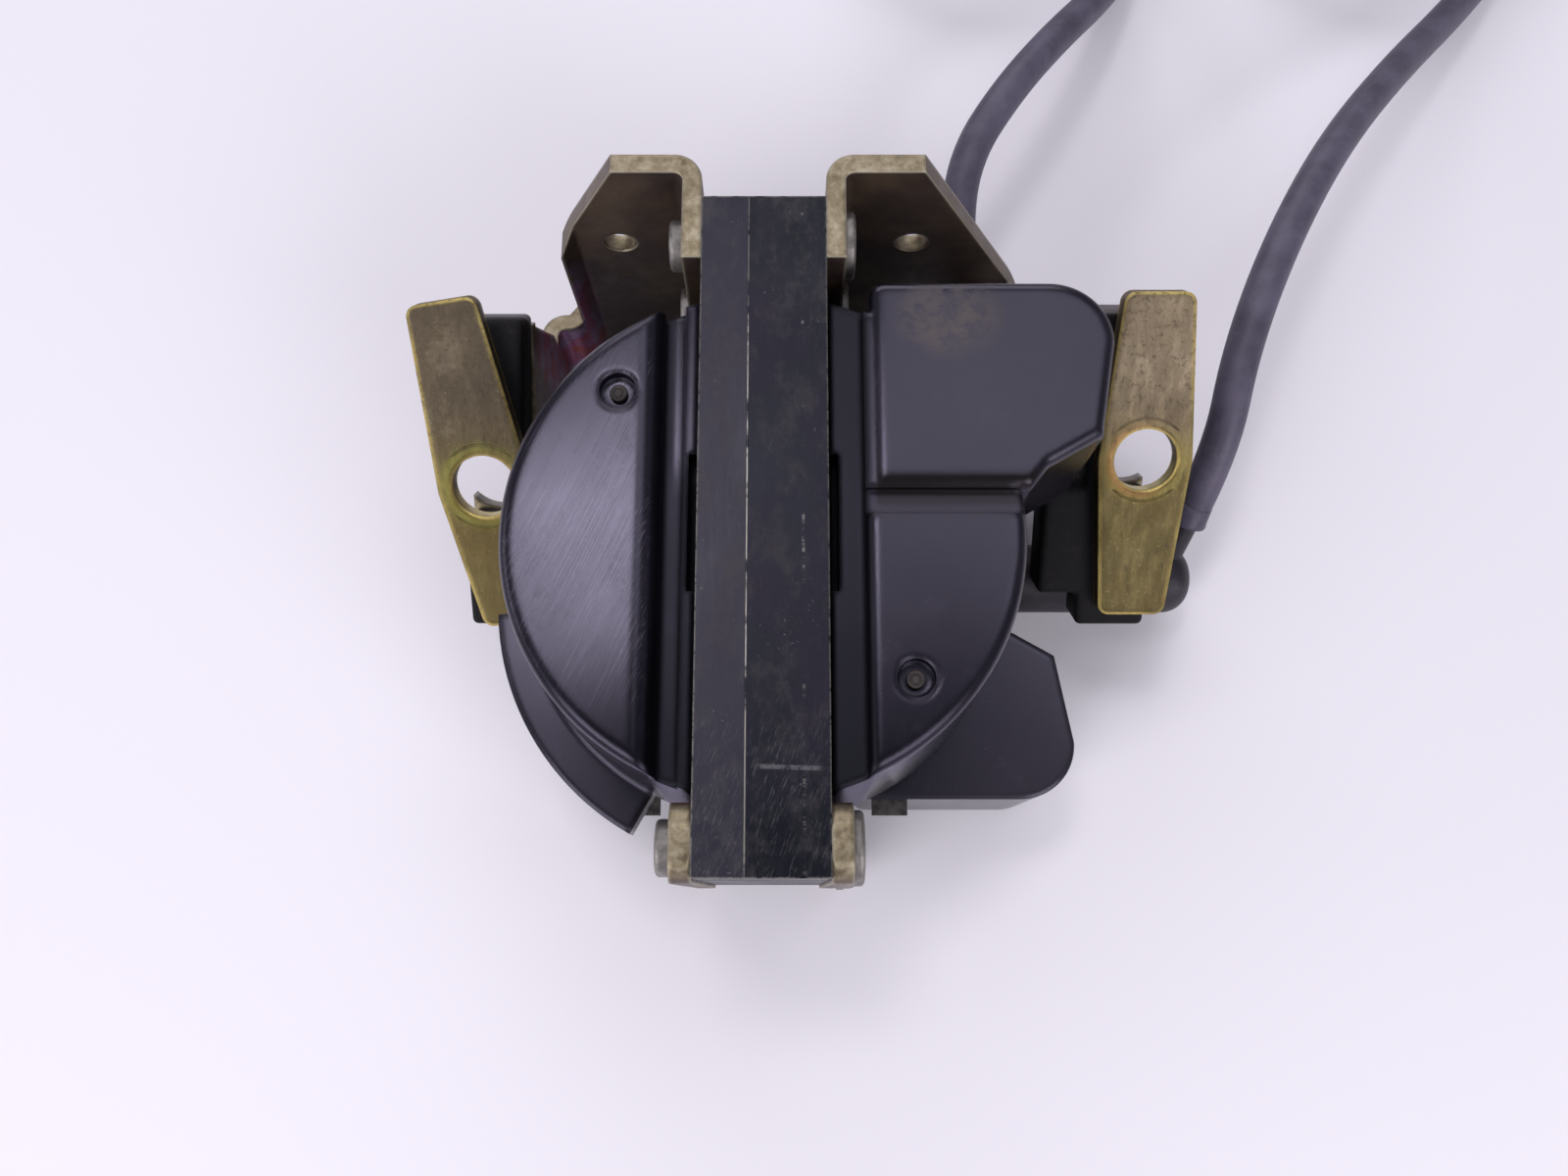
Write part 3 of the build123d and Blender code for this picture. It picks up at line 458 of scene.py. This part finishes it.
def makeEarZinc(name, side):
    v = earValues
    f = Finish(name, roughness=0.40, metallic=0.8)
    smooth, edge = f.edge(0.0015, 8)
    spotX, spotY = v["holes"][side]
    along = (f.y - spotY) * (1 / math.cos(math.radians(v["tilt"])))  # distance along the slanted plate
    across = f.x - spotX
    ringRadius = (across * across + along * along) ** 0.5
    cloud = f.noise(0.010, 4, 0.6)
    speck = f.noise(0.0006, 4, 0.75)
    streak = f.noise(0.0018, 4, 0.7, (1, 0.3, 0.3))
    upper = along.step(-0.004, 0.016)
    # painted light and shade: each ear's lower and upper colours are scaled lighter or darker
    olive = f.ramp(cloud, [(spot, scaled(colour, v["lowerPaintedLight"][side])) for spot, colour in v["olive"]])
    dull = f.ramp(cloud, [(spot, scaled(colour, v["upperPaintedLight"][side])) for spot, colour in v["dull"]])
    base = f.blend(upper, olive, dull)

    # Heat colours in a ring round the hole, and its wall painted bright gold as painted light
    hole = v["holeRadius"]
    ring = f.ramp((ringRadius - hole) * 90.0 + 0.18, v["rings"][side])
    if side == 1:
        ring = f.blend(across.step(-0.001, 0.005) * 0.8, ring, v["greenRing"])
    ringMask = 1.0 - ringRadius.step(hole - 0.0004, hole + 0.0036)
    patchy = 0.35 + cloud.step(0.35, 0.65) * 0.4 - along.step(0.002, 0.007) * side * 0.35
    base = f.blend(ringMask * patchy, base, ring)
    base = f.blend(1.0 - ringRadius.step(hole - 0.0003, hole + 0.00015), base, v["holeWall"])

    # Edges painted bright gold, partly wear and partly a painted highlight; then grime and specks
    worn = edge.step(0.02, 0.12) * (0.50 + cloud.step(0.35, 0.6) * 0.50)
    base = f.blend(worn * 0.9, base, v["worn"])
    grime = f.noise(0.0022, 6, 0.8, (1, 0.5, 0.5)).step(0.58, 0.70)
    base = f.blend(grime * 0.40, base, v["grime"])
    freckle = f.noise(0.0011, 5, 0.8, shift=(0.3, 0.1, 0)).step(0.53, 0.60) * (0.30 + upper * 0.6)
    base = f.blend(freckle * 0.60, base, v["freckle"])
    base = f.blend(speck.step(0.60, 0.72) * 0.4, base, v["speck"])
    rough = 0.36 + streak.step(0.3, 0.7) * 0.16 + upper * 0.08 + grime * 0.2
    f.put(Base_Color=base, Roughness=rough, Metallic=0.85 - grime * 0.4)
    arcs = ringRadius.near(hole + 0.0019, 0.00022) * abs(along).step(0.0050, 0.0062)
    f.put(Normal=f.raised(speck * 0.5 + streak * 0.5 - arcs * 3.0, v["relief"], smooth))
    return f.material


def makeSteel(name, colour, spots):
    f = Finish(name, roughness=0.5, metallic=0.7)
    smooth, edge = f.edge(0.0005)
    cloud = f.noise(0.004, 4, 0.6)
    speck = f.noise(0.0006, 4, 0.7)
    rust = speck.step(0.58, 0.7)
    base = f.blend(cloud.step(0.35, 0.7), scaled(colour, 0.6), scaled(colour, 1.15))
    base = f.blend(rust * spots, base, (0.10, 0.075, 0.055))
    base = f.blend(edge.step(0.03, 0.2) * 0.4, base, (0.62, 0.60, 0.56))
    f.put(Base_Color=base, Roughness=0.46 + (cloud - 0.5) * 0.3, Metallic=0.75 - rust * 0.4)
    f.put(Normal=f.raised(speck + cloud, 0.00007, smooth))
    return f.material


def makeRubber(name, colour, dustColour, dust, roughness, radius=0.0006, paleEnd=None, specular=0.4):
    # paleEnd is the y from which the rubber turns chalky
    f = Finish(name, roughness=roughness, specular=specular, tint=(0.94, 0.90, 1.0))
    smooth, edge = f.edge(radius)
    cloud = f.noise(0.009, 4, 0.6)
    grain = f.noise(0.0004, 3, 0.6)
    smear = f.noise(0.0030, 6, 0.75, shift=(0.1, 0.5, 0)).step(0.50, 0.72)
    base = f.blend(cloud.step(0.3, 0.7), scaled(colour, 0.75), scaled(colour, 1.3))
    base = f.blend((smear * dust + edge.step(0.03, 0.2) * 0.2).least(1.0), base, dustColour)
    if paleEnd:
        chalk = f.y.step(paleEnd, paleEnd + 0.0006) * (0.55 + smear * 0.3)
        base = f.blend(chalk, base, (0.24, 0.215, 0.225))
    f.put(Base_Color=base, Roughness=roughness + (cloud - 0.5) * 0.25 + smear * 0.1)
    f.put(Normal=f.raised(grain * 0.7 + smear * 0.5, 0.00006, smooth))
    return f.material


def makePlain(name, dark, light, metallic, roughness, size=0.003):
    f = Finish(name, roughness=roughness, metallic=metallic)
    smooth, edge = f.edge(0.0003, 4)
    cloud = f.noise(size, 4, 0.6)
    grain = f.noise(size * 0.15, 3, 0.6)
    base = f.blend(cloud.step(0.3, 0.7), dark, light)
    base = f.blend(edge.step(0.05, 0.3) * 0.25, base, tuple(min(1.0, c * 1.6 + 0.03) for c in light))
    f.put(Base_Color=base, Roughness=roughness + (cloud - 0.5) * 0.2)
    f.put(Normal=f.raised(grain + cloud, 0.00004, smooth))
    return f.material


def makeWinding(name):
    f = Finish(name, roughness=0.3, metallic=0.7)
    wave = f.stripes("Z", 0.0004, 0.1)
    cloud = f.noise(0.004, 3)
    base = f.blend(wave * 0.7 + cloud * 0.3, (0.16, 0.045, 0.02), (0.62, 0.24, 0.10))
    f.put(Base_Color=base, Roughness=0.28 + cloud * 0.15)
    f.put(Normal=f.raised(wave, 0.0001))
    return f.material


finishes = {
    "housing": makeMoulding("satin moulding"),
    "core": makeCorePaint("worn core paint"),
    "bracket": makeBracketZinc("bracket zinc"),
    "leftEar": makeEarZinc("left ear zinc", 0),
    "rightEar": makeEarZinc("right ear zinc", 1),
    "rivet": makeSteel("rivet steel", (0.30, 0.28, 0.27), 0.5),
    "stud": makeRubber("dusty boss", (0.034, 0.029, 0.028), (0.13, 0.105, 0.085), 0.8, 0.7, 0.0003),
    "mount": makeRubber(
        "mount rubber", (0.0055, 0.0052, 0.0056), (0.05, 0.045, 0.04), 0.25, 0.62, 0.0016, 0.0405, 0.2
    ),
    "boot": makeRubber("boot rubber", (0.022, 0.019, 0.026), (0.10, 0.09, 0.10), 0.3, 0.48),
    "lead": makeRubber("lead jacket", (0.082, 0.073, 0.110), (0.19, 0.18, 0.22), 0.20, 0.46),
    "cap": makePlain("cap moulding", (0.012, 0.011, 0.013), (0.030, 0.028, 0.032), 0.0, 0.42),
    "tie": makePlain("tie nylon", (0.010, 0.010, 0.011), (0.026, 0.025, 0.027), 0.0, 0.35),
    "blade": makePlain("dull blade", (0.045, 0.040, 0.040), (0.13, 0.12, 0.115), 0.5, 0.5, 0.0015),
    "brass": makePlain("dull brass", (0.34, 0.22, 0.07), (0.62, 0.44, 0.16), 0.9, 0.35),
    "bobbin": makePlain("natural bobbin", (0.50, 0.46, 0.35), (0.68, 0.63, 0.50), 0.0, 0.5),
    "resin": makePlain("cast resin", (0.012, 0.008, 0.006), (0.040, 0.028, 0.020), 0.0, 0.22, 0.006),
    "winding": makeWinding("enamelled wire"),
}
print("finishes ready")

# The first key found in a solid's name picks its finish
finishOf = {
    "housing": "housing",
    "core_stack": "core",
    "core_bar": "core",
    "core_spacer": "core",
    "left_bracket": "bracket",
    "right_bracket": "bracket",
    "end_plate": "bracket",
    "left_mounting_ear": "leftEar",
    "right_mounting_ear": "rightEar",
    "rivets": "rivet",
    "recess_studs": "stud",
    "rubber_mount": "mount",
    "lead_boot": "boot",
    "plug_cap_clips": "brass",
    "plug_cap_a": "cap",
    "plug_cap_b": "cap",
    "tie": "tie",
    "high_voltage_pin": "brass",
    "primary_blades": "blade",
    "bobbin": "bobbin",
    "potting_resin": "resin",
    "winding": "winding",
    "lead_a": "lead",
    "lead_b": "lead",
}

for nodeName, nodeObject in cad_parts.items():
    for key, finishName in finishOf.items():
        if key in nodeName:
            nodeObject.data.materials.clear()
            nodeObject.data.materials.append(finishes[finishName])
            break
print("finishes on the solids")


# High-voltage leads: run, coil and tail on one spline each, in millimetres
leadValues = {
    "radius": 3.5,
    "coilRadius": 38.5,
    "coilPitch": 7.2,
    "floorGap": 1.4,
    "pointsPerTurn": 16,
    "a": {
        "run": [
            (40.5, 46.5, 22.0),
            (40.5, 58.5, 22.0),
            (38.0, 73.5, 25.0),
            (39.5, 89.0, 30.0),
            (49.0, 104.0, 31.5),
            (61.0, 121.0, 26.0),
            (73.0, 138.0, 16.5),
            (81.0, 153.0, 8.5),
            (85.3, 167.0, 5.6),
            (86.9, 179.8, 4.9),
        ],
        "centre": (52.0, 196.0),
        "entry": -24.8,
        "turns": 1.4,
        "tail": [(17.0, 220.0, 11.6), (0.0, 213.5, 9.5), (-18.0, 213.5, 9.5)],
        "length": 0.546,
    },
    "b": {
        "run": [
            (81.9, 16.3, 20.7),
            (85.7, 25.8, 31.1),
            (89.0, 44.0, 37.0),
            (98.5, 66.4, 38.0),
            (113.5, 91.0, 33.0),
            (133.0, 115.0, 23.0),
            (153.0, 137.0, 12.5),
            (168.0, 155.0, 6.8),
            (178.1, 174.8, 4.9),
        ],
        "centre": (146.0, 196.0),
        "entry": -33.5,
        "turns": 1.3,
        "tail": [(141.0, 240.0, 12.0), (126.0, 246.0, 10.5), (111.0, 249.5, 9.5), (95.0, 249.5, 9.5)],
        "length": 0.576,
    },
}


def coilPoints(centre, entry, turns):
    v = leadValues
    count = round(turns * v["pointsPerTurn"])
    reach = v["coilRadius"] / math.cos(math.pi / v["pointsPerTurn"]) ** 0.5
    points = []
    for i in range(1, count):
        angle = math.radians(entry + 360 * turns * i / count)
        height = v["floorGap"] + v["radius"] + v["coilPitch"] * turns * i / count
        points.append((centre[0] + reach * math.cos(angle), centre[1] + reach * math.sin(angle), height))
    return points


def makeLead(letter):
    v = leadValues[letter]
    curve = bpy.data.curves.new("lead_" + letter, "CURVE")
    curve.dimensions = "3D"
    curve.bevel_depth = leadValues["radius"] * mm
    curve.bevel_resolution = 8
    curve.resolution_u = 8
    curve.use_fill_caps = True
    points = v["run"] + coilPoints(v["centre"], v["entry"], v["turns"]) + v["tail"]
    spline = curve.splines.new("NURBS")
    spline.points.add(len(points) - 1)
    for point, spot in zip(spline.points, points):
        point.co = (spot[0] * mm, spot[1] * mm, spot[2] * mm, 1.0)
    spline.order_u = 3
    spline.use_endpoint_u = True
    lead = bpy.data.objects.new("high_voltage_lead_" + letter, curve)
    scene.collection.objects.link(lead)
    curve.materials.append(finishes["lead"])
    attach(lead, bodyName)
    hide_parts(f"lead_{letter}_run", f"lead_{letter}_coil", f"lead_{letter}_tail")
    return lead


leads = {letter: makeLead(letter) for letter in "ab"}
print("leads laid")


# Tools for new pieces
def clearSelection():
    if bpy.context.object and bpy.context.object.mode != "OBJECT":
        bpy.ops.object.mode_set(mode="OBJECT")
    bpy.ops.object.select_all(action="DESELECT")


def turnPiece(name, steps, sides=64, solid=True):
    # A round piece turned about Z: each step is (height, radius) in millimetres
    clearSelection()
    height, radius = steps[0]
    bpy.ops.mesh.primitive_circle_add(
        vertices=sides, radius=radius * mm, fill_type="NGON" if solid else "NOTHING", location=(0, 0, 0)
    )
    piece = bpy.context.object
    piece.name = name
    bpy.ops.object.mode_set(mode="EDIT")
    bpy.ops.mesh.select_all(action="SELECT")
    bpy.ops.transform.translate(value=(0, 0, height * mm))
    for nextHeight, nextRadius in steps[1:]:
        move = {"value": (0, 0, (nextHeight - height) * mm)}
        bpy.ops.mesh.extrude_region_move(TRANSFORM_OT_translate=move)
        share = nextRadius / radius
        bpy.ops.transform.resize(value=(share, share, 1), center_override=(0, 0, nextHeight * mm))
        height, radius = nextHeight, nextRadius
    bpy.ops.mesh.select_all(action="SELECT")
    bpy.ops.mesh.remove_doubles(threshold=0.000001)
    bpy.ops.mesh.normals_make_consistent(inside=False)
    bpy.ops.object.mode_set(mode="OBJECT")
    return piece


def boxPiece(name, low, high):
    # A block between two corners in millimetres
    clearSelection()
    centre = [(a + b) / 2 * mm for a, b in zip(low, high)]
    bpy.ops.mesh.primitive_cube_add(size=1, location=centre)
    piece = bpy.context.object
    piece.name = name
    piece.scale = [(b - a) * mm for a, b in zip(low, high)]
    bpy.ops.object.transform_apply(location=True, rotation=True, scale=True)
    return piece


def bevelPiece(piece, width, segments=3, angle=35):
    clearSelection()
    piece.select_set(True)
    bpy.context.view_layer.objects.active = piece
    bevel = piece.modifiers.new("bevel", "BEVEL")
    bevel.width = width * mm
    bevel.segments = segments
    bevel.limit_method = "ANGLE"
    bevel.angle_limit = math.radians(angle)
    bevel.harden_normals = False
    bpy.ops.object.modifier_apply(modifier=bevel.name)
    bpy.ops.object.shade_smooth_by_angle(angle=math.radians(40))
    return piece


def placePiece(piece, spot, turn=(0, 0, 0)):
    # Move and turn a finished shape, then leave the object at the origin
    clearSelection()
    piece.select_set(True)
    bpy.context.view_layer.objects.active = piece
    piece.rotation_euler = [math.radians(a) for a in turn]
    piece.location = [c * mm for c in spot]
    bpy.ops.object.transform_apply(location=True, rotation=True, scale=True)
    return piece


def joinPieces(name, pieces):
    clearSelection()
    for piece in pieces:
        piece.select_set(True)
    bpy.context.view_layer.objects.active = pieces[0]
    bpy.ops.object.join()
    pieces[0].name = name
    return pieces[0]


def finishPiece(piece, finish, nodes=()):
    piece.data.materials.clear()
    piece.data.materials.append(finishes[finish])
    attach(piece, bodyName)
    if nodes:
        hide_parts(*nodes)
    return piece


def roundedCopy(nodeName, name, values):
    # The same shape as a solid, with its sharp edges really rounded
    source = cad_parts[nodeName]
    piece = bpy.data.objects.new(name, source.data.copy())
    scene.collection.objects.link(piece)
    piece.matrix_world = source.matrix_world
    clearSelection()
    piece.select_set(True)
    bpy.context.view_layer.objects.active = piece
    bpy.ops.object.transform_apply(location=True, rotation=True, scale=True)
    bpy.ops.mesh.customdata_custom_splitnormals_clear()
    bpy.ops.object.mode_set(mode="EDIT")
    bpy.ops.mesh.select_all(action="SELECT")
    bpy.ops.mesh.remove_doubles(threshold=0.00001)
    bpy.ops.mesh.dissolve_limited(angle_limit=math.radians(1))
    bpy.ops.mesh.normals_make_consistent(inside=False)
    bpy.ops.object.mode_set(mode="OBJECT")
    bevelPiece(piece, values["round"], values["segments"], 32)
    return finishPiece(piece, "mount", [nodeName])


# Rubber mounts with their edges rounded
mountValues = {"round": 1.1, "segments": 4}

for sideName in ("left", "right"):
    roundedCopy(sideName + "_rubber_mount", sideName + "_rubber_block", mountValues)
print("mounts rounded")


# Open end of the second lead's jacket, round the thinner stub
sleeveValues = {"outer": 3.8, "lip": 3.95, "bore": 3.15, "seat": 3.3, "ahead": 1.1, "behind": 3.2}


def makeSleeve():
    v = sleeveValues
    end = v["ahead"] + v["behind"]
    steps = [
        (0, v["bore"]),
        (0, v["lip"] - 0.15),
        (0.15, v["lip"]),
        (0.7, v["lip"]),
        (1.0, v["outer"]),
        (end, v["outer"] - 0.28),
        (end, v["seat"]),
        (v["ahead"], v["seat"]),
        (v["ahead"], v["bore"]),
        (0, v["bore"]),
    ]
    sleeve = turnPiece("lead_b_sleeve", steps, 48, False)
    bevelPiece(sleeve, 0.08, 2, 30)
    first, second = (Vector(spot) for spot in leadValues["b"]["run"][:2])
    way = (second - first).normalized()
    turn = [math.degrees(a) for a in way.to_track_quat("Z", "Y").to_euler()]
    placePiece(sleeve, first - way * v["ahead"], turn)
    return finishPiece(sleeve, "lead")


sleeve = makeSleeve()


# Plug caps: neck, ribbed body, flared mouth with a rolled lip
# Each step is (distance, radius), from the lead's end or back from the mouth
capValues = {
    "length": 72.0,
    "neck": [(0, 4.2), (0, 5.2), (0.8, 6.0), (1.6, 5.2), (3.2, 5.0), (4.0, 6.2), (5.0, 5.3)],
    "shoulder": [(6.6, 5.2), (7.4, 6.4), (8.4, 5.5), (10.5, 5.6), (13.2, 6.6), (14.2, 8.2)],
    "ribs": 6,
    "firstRib": 15.0,
    "ribPitch": 6.2,
    "rib": [(0, 7.8), (3.1, 7.75), (3.6, 8.5), (5.4, 8.5), (5.9, 7.75)],
    "belly": (54.2, 7.8),
    "waist": [(15.0, 7.9), (13.6, 8.9), (9.0, 9.0), (8.2, 8.4), (6.6, 8.4), (5.8, 9.2)],
    "lip": [(2.0, 9.5), (0.5, 9.4), (0, 8.8), (0, 7.7), (0.9, 7.0)],
    "bore": 6.8,
    "boreDepth": 38.0,
    "seal": [(4.0, 0), (8.0, 0), (8.6, 0.5), (9.8, 0.5), (10.4, 0)],
}


def makeCap(letter, start):
    v = capValues
    steps = v["neck"] + v["shoulder"]
    for rib in range(v["ribs"]):
        at = v["firstRib"] + rib * v["ribPitch"]
        steps += [(at + along, radius) for along, radius in v["rib"]]
    steps.append(v["belly"])
    back = v["waist"] + v["lip"] + [(depth, v["bore"] + groove) for depth, groove in v["seal"]]
    back += [(v["boreDepth"], v["bore"]), (v["boreDepth"], 0.4)]
    steps += [(v["length"] - depth, radius) for depth, radius in back]
    cap = turnPiece("plug_cap_shell_" + letter, steps, 56)
    bevelPiece(cap, 0.25, 2, 30)
    placePiece(cap, start, (0, -90, 0))
    return finishPiece(cap, "cap", ["plug_cap_" + letter])


caps = {letter: makeCap(letter, leadValues[letter]["tail"][-1]) for letter in "ab"}


# Brass clips inside the caps: a waisted sleeve
clipValues = {
    "outer": 3.5,
    "inner": 2.9,
    "centre": 0.6,
    "base": 1.0,
    "length": 10.6,
    "waist": [(2.0, 0), (4.6, 0.5), (8.4, 0.2)],
}


def makeClip(letter, start):
    v = clipValues
    steps = [(0, v["centre"]), (0, v["outer"])]
    steps += [(height, v["outer"] - depth) for height, depth in v["waist"]]
    steps += [(v["length"], v["outer"]), (v["length"], v["inner"])]
    steps += [(height, v["inner"] - depth) for height, depth in reversed(v["waist"])]
    steps += [(v["base"], v["inner"]), (v["base"], v["centre"])]
    clip = turnPiece("plug_clip_" + letter, steps, 40)
    bevelPiece(clip, 0.12, 2, 30)
    inner = start[0] - capValues["length"] + capValues["boreDepth"]
    return placePiece(clip, (inner - 0.1, start[1], start[2]), (0, -90, 0))


clips = joinPieces("plug_clips", [makeClip(letter, leadValues[letter]["tail"][-1]) for letter in "ab"])
finishPiece(clips, "brass", ["plug_cap_clips"])
print("caps turned")


# Cable ties round each wound-up lead: strap, head and cut tail
tieValues = {
    "angle": 30.0,
    "width": 4.6,
    "thick": 1.1,
    "gap": 0.3,
    "play": 0.3,
    "headFrom": -3.1,
    "headTo": 2.3,
    "headSide": 0.7,
    "headSunk": 0.4,
    "headHeight": 3.0,
    "stubFrom": (-1.9, -1.8, 2.6),
    "stubTo": (-0.7, 1.8, 5.2),
}


def makeTie(letter):
    v = tieValues
    lead = leadValues[letter]
    innerWidth = 2 * (leadValues["radius"] + v["play"] + v["gap"])
    full = 2 * (v["thick"] + v["gap"]) + 2 * leadValues["radius"] + leadValues["coilPitch"] * lead["turns"]
    half = innerWidth / 2 + v["thick"]
    strap = boxPiece("strap", (-half, -v["width"] / 2, 0), (half, v["width"] / 2, full))
    bpy.ops.object.mode_set(mode="EDIT")
    bpy.ops.mesh.select_mode(type="FACE")
    mesh = bmesh.from_edit_mesh(strap.data)
    for face in mesh.faces:
        face.select_set(abs(face.normal.y) > 0.9)
    bmesh.update_edit_mesh(strap.data)
    bpy.ops.mesh.inset(thickness=v["thick"] * mm)
    bpy.ops.mesh.bridge_edge_loops()
    bpy.ops.mesh.select_all(action="SELECT")
    bpy.ops.mesh.normals_make_consistent(inside=False)
    bpy.ops.object.mode_set(mode="OBJECT")
    bevelPiece(strap, 0.35, 3, 50)
    headHalf = v["width"] / 2 + v["headSide"]
    headLow = (v["headFrom"], -headHalf, full - v["headSunk"])
    head = boxPiece("head", headLow, (v["headTo"], headHalf, full + v["headHeight"]))
    bevelPiece(head, 0.6, 3)
    stubLow, stubHigh = ((x, y, full + z) for x, y, z in (v["stubFrom"], v["stubTo"]))
    stub = boxPiece("stub", stubLow, stubHigh)
    bevelPiece(stub, 0.2, 2)
    tie = joinPieces("lead_tie_" + letter, [strap, head, stub])
    angle = math.radians(v["angle"])
    reach = leadValues["coilRadius"]
    spot = (lead["centre"][0] + reach * math.cos(angle), lead["centre"][1] + reach * math.sin(angle), 0)
    placePiece(tie, spot, (0, 0, v["angle"]))
    return finishPiece(tie, "tie", [f"lead_{letter}_tie"])


ties = {letter: makeTie(letter) for letter in "ab"}
print("ties closed")

for letter, lead in leads.items():
    start = leadValues[letter]["run"][0]
    [c * mm for c in start]
    2 * leadValues["radius"] * mm
    [caps[letter], ties[letter]] + ([clips] if letter == "a" else [sleeve])


# Plugs in the two recesses of each coil: a small flanged pin with a ring
plugValues = {
    "offset": 22.6,
    "shift": 2.2,
    "floor": 33.8,
    "middle": 37.0,
    "flange": [(0, 0.4), (0, 1.4), (0.9, 1.4), (1.12, 1.25), (1.12, 1.05)],
    "ring": [(0.86, 0.95), (0.86, 0.72), (1.08, 0.62), (1.2, 0.4), (1.2, 0.12)],
}


def makePlugs(name, side):
    v = plugValues
    plugs = []
    for spotX in (-v["offset"], v["offset"]):
        plug = turnPiece("plug", v["flange"] + v["ring"], 32)
        bevelPiece(plug, 0.06, 2, 25)
        spotY = -side * (v["shift"] + spotX)
        tilt = 0 if side > 0 else 180
        placePiece(plug, (spotX, spotY, v["middle"] + side * v["floor"]), (tilt, 0, 0))
        plugs.append(plug)
    joined = joinPieces(name + "_recess_plugs", plugs)
    return finishPiece(joined, "stud", [name + "_recess_studs"])


makePlugs("upper", 1)
makePlugs("lower", -1)
print("recess plugs set")


# Table and light
tableValues = {"colour": (0.85, 0.826, 0.902), "size": 6.0}
skyValues = {"colour": (0.93, 0.90, 1.0), "strength": 0.24}

bpy.ops.object.select_all(action="DESELECT")
bpy.ops.mesh.primitive_plane_add(size=tableValues["size"], location=(0, 0, 0))
table = bpy.context.object
table.name = "table"
tableFinish = Finish("pale table", roughness=0.6)
tableFinish.put(Base_Color=tableValues["colour"])
table.data.materials.append(tableFinish.material)


# Each lamp: place, size, power and colour
lampValues = {
    "window": ((-0.150, 0.262, 0.95), (0.23, 0.15), 1.45, (1.0, 0.975, 1.0)),
    "right": ((0.26, 0.36, 0.95), (0.50, 0.36), 1.0, (0.96, 0.97, 1.0)),
    "side": ((-0.80, 0.10, 0.50), (0.45, 0.10), 0.7, (1.0, 0.98, 1.0)),
    "back": ((-0.10, 0.95, 0.55), (0.90, 0.45), 3.2, (1.0, 0.98, 1.0)),
    "frontLeft": ((-0.62, -0.60, 0.62), (0.55, 0.55), 4.85, (1.0, 0.98, 0.99)),
    "frontRight": ((0.55, -0.66, 0.62), (0.55, 0.55), 4.85, (1.0, 0.98, 0.99)),
}
middleOfPart = Vector((0.0, 0.0, 0.05))

for lampName, (place, size, power, colour) in lampValues.items():
    data = bpy.data.lights.new(lampName, "AREA")
    data.shape = "RECTANGLE"
    data.size, data.size_y = size
    data.energy = power
    data.color = colour
    lamp = bpy.data.objects.new(lampName, data)
    lamp.location = place
    lamp.rotation_euler = (middleOfPart - Vector(place)).to_track_quat("-Z", "Y").to_euler()
    scene.collection.objects.link(lamp)

world = bpy.data.worlds.new("room")
world.use_nodes = True
scene.world = world
sky = world.node_tree.nodes["Background"]
sky.inputs[0].default_value = (*skyValues["colour"], 1.0)
sky.inputs[1].default_value = skyValues["strength"]
print("table and lamps placed")
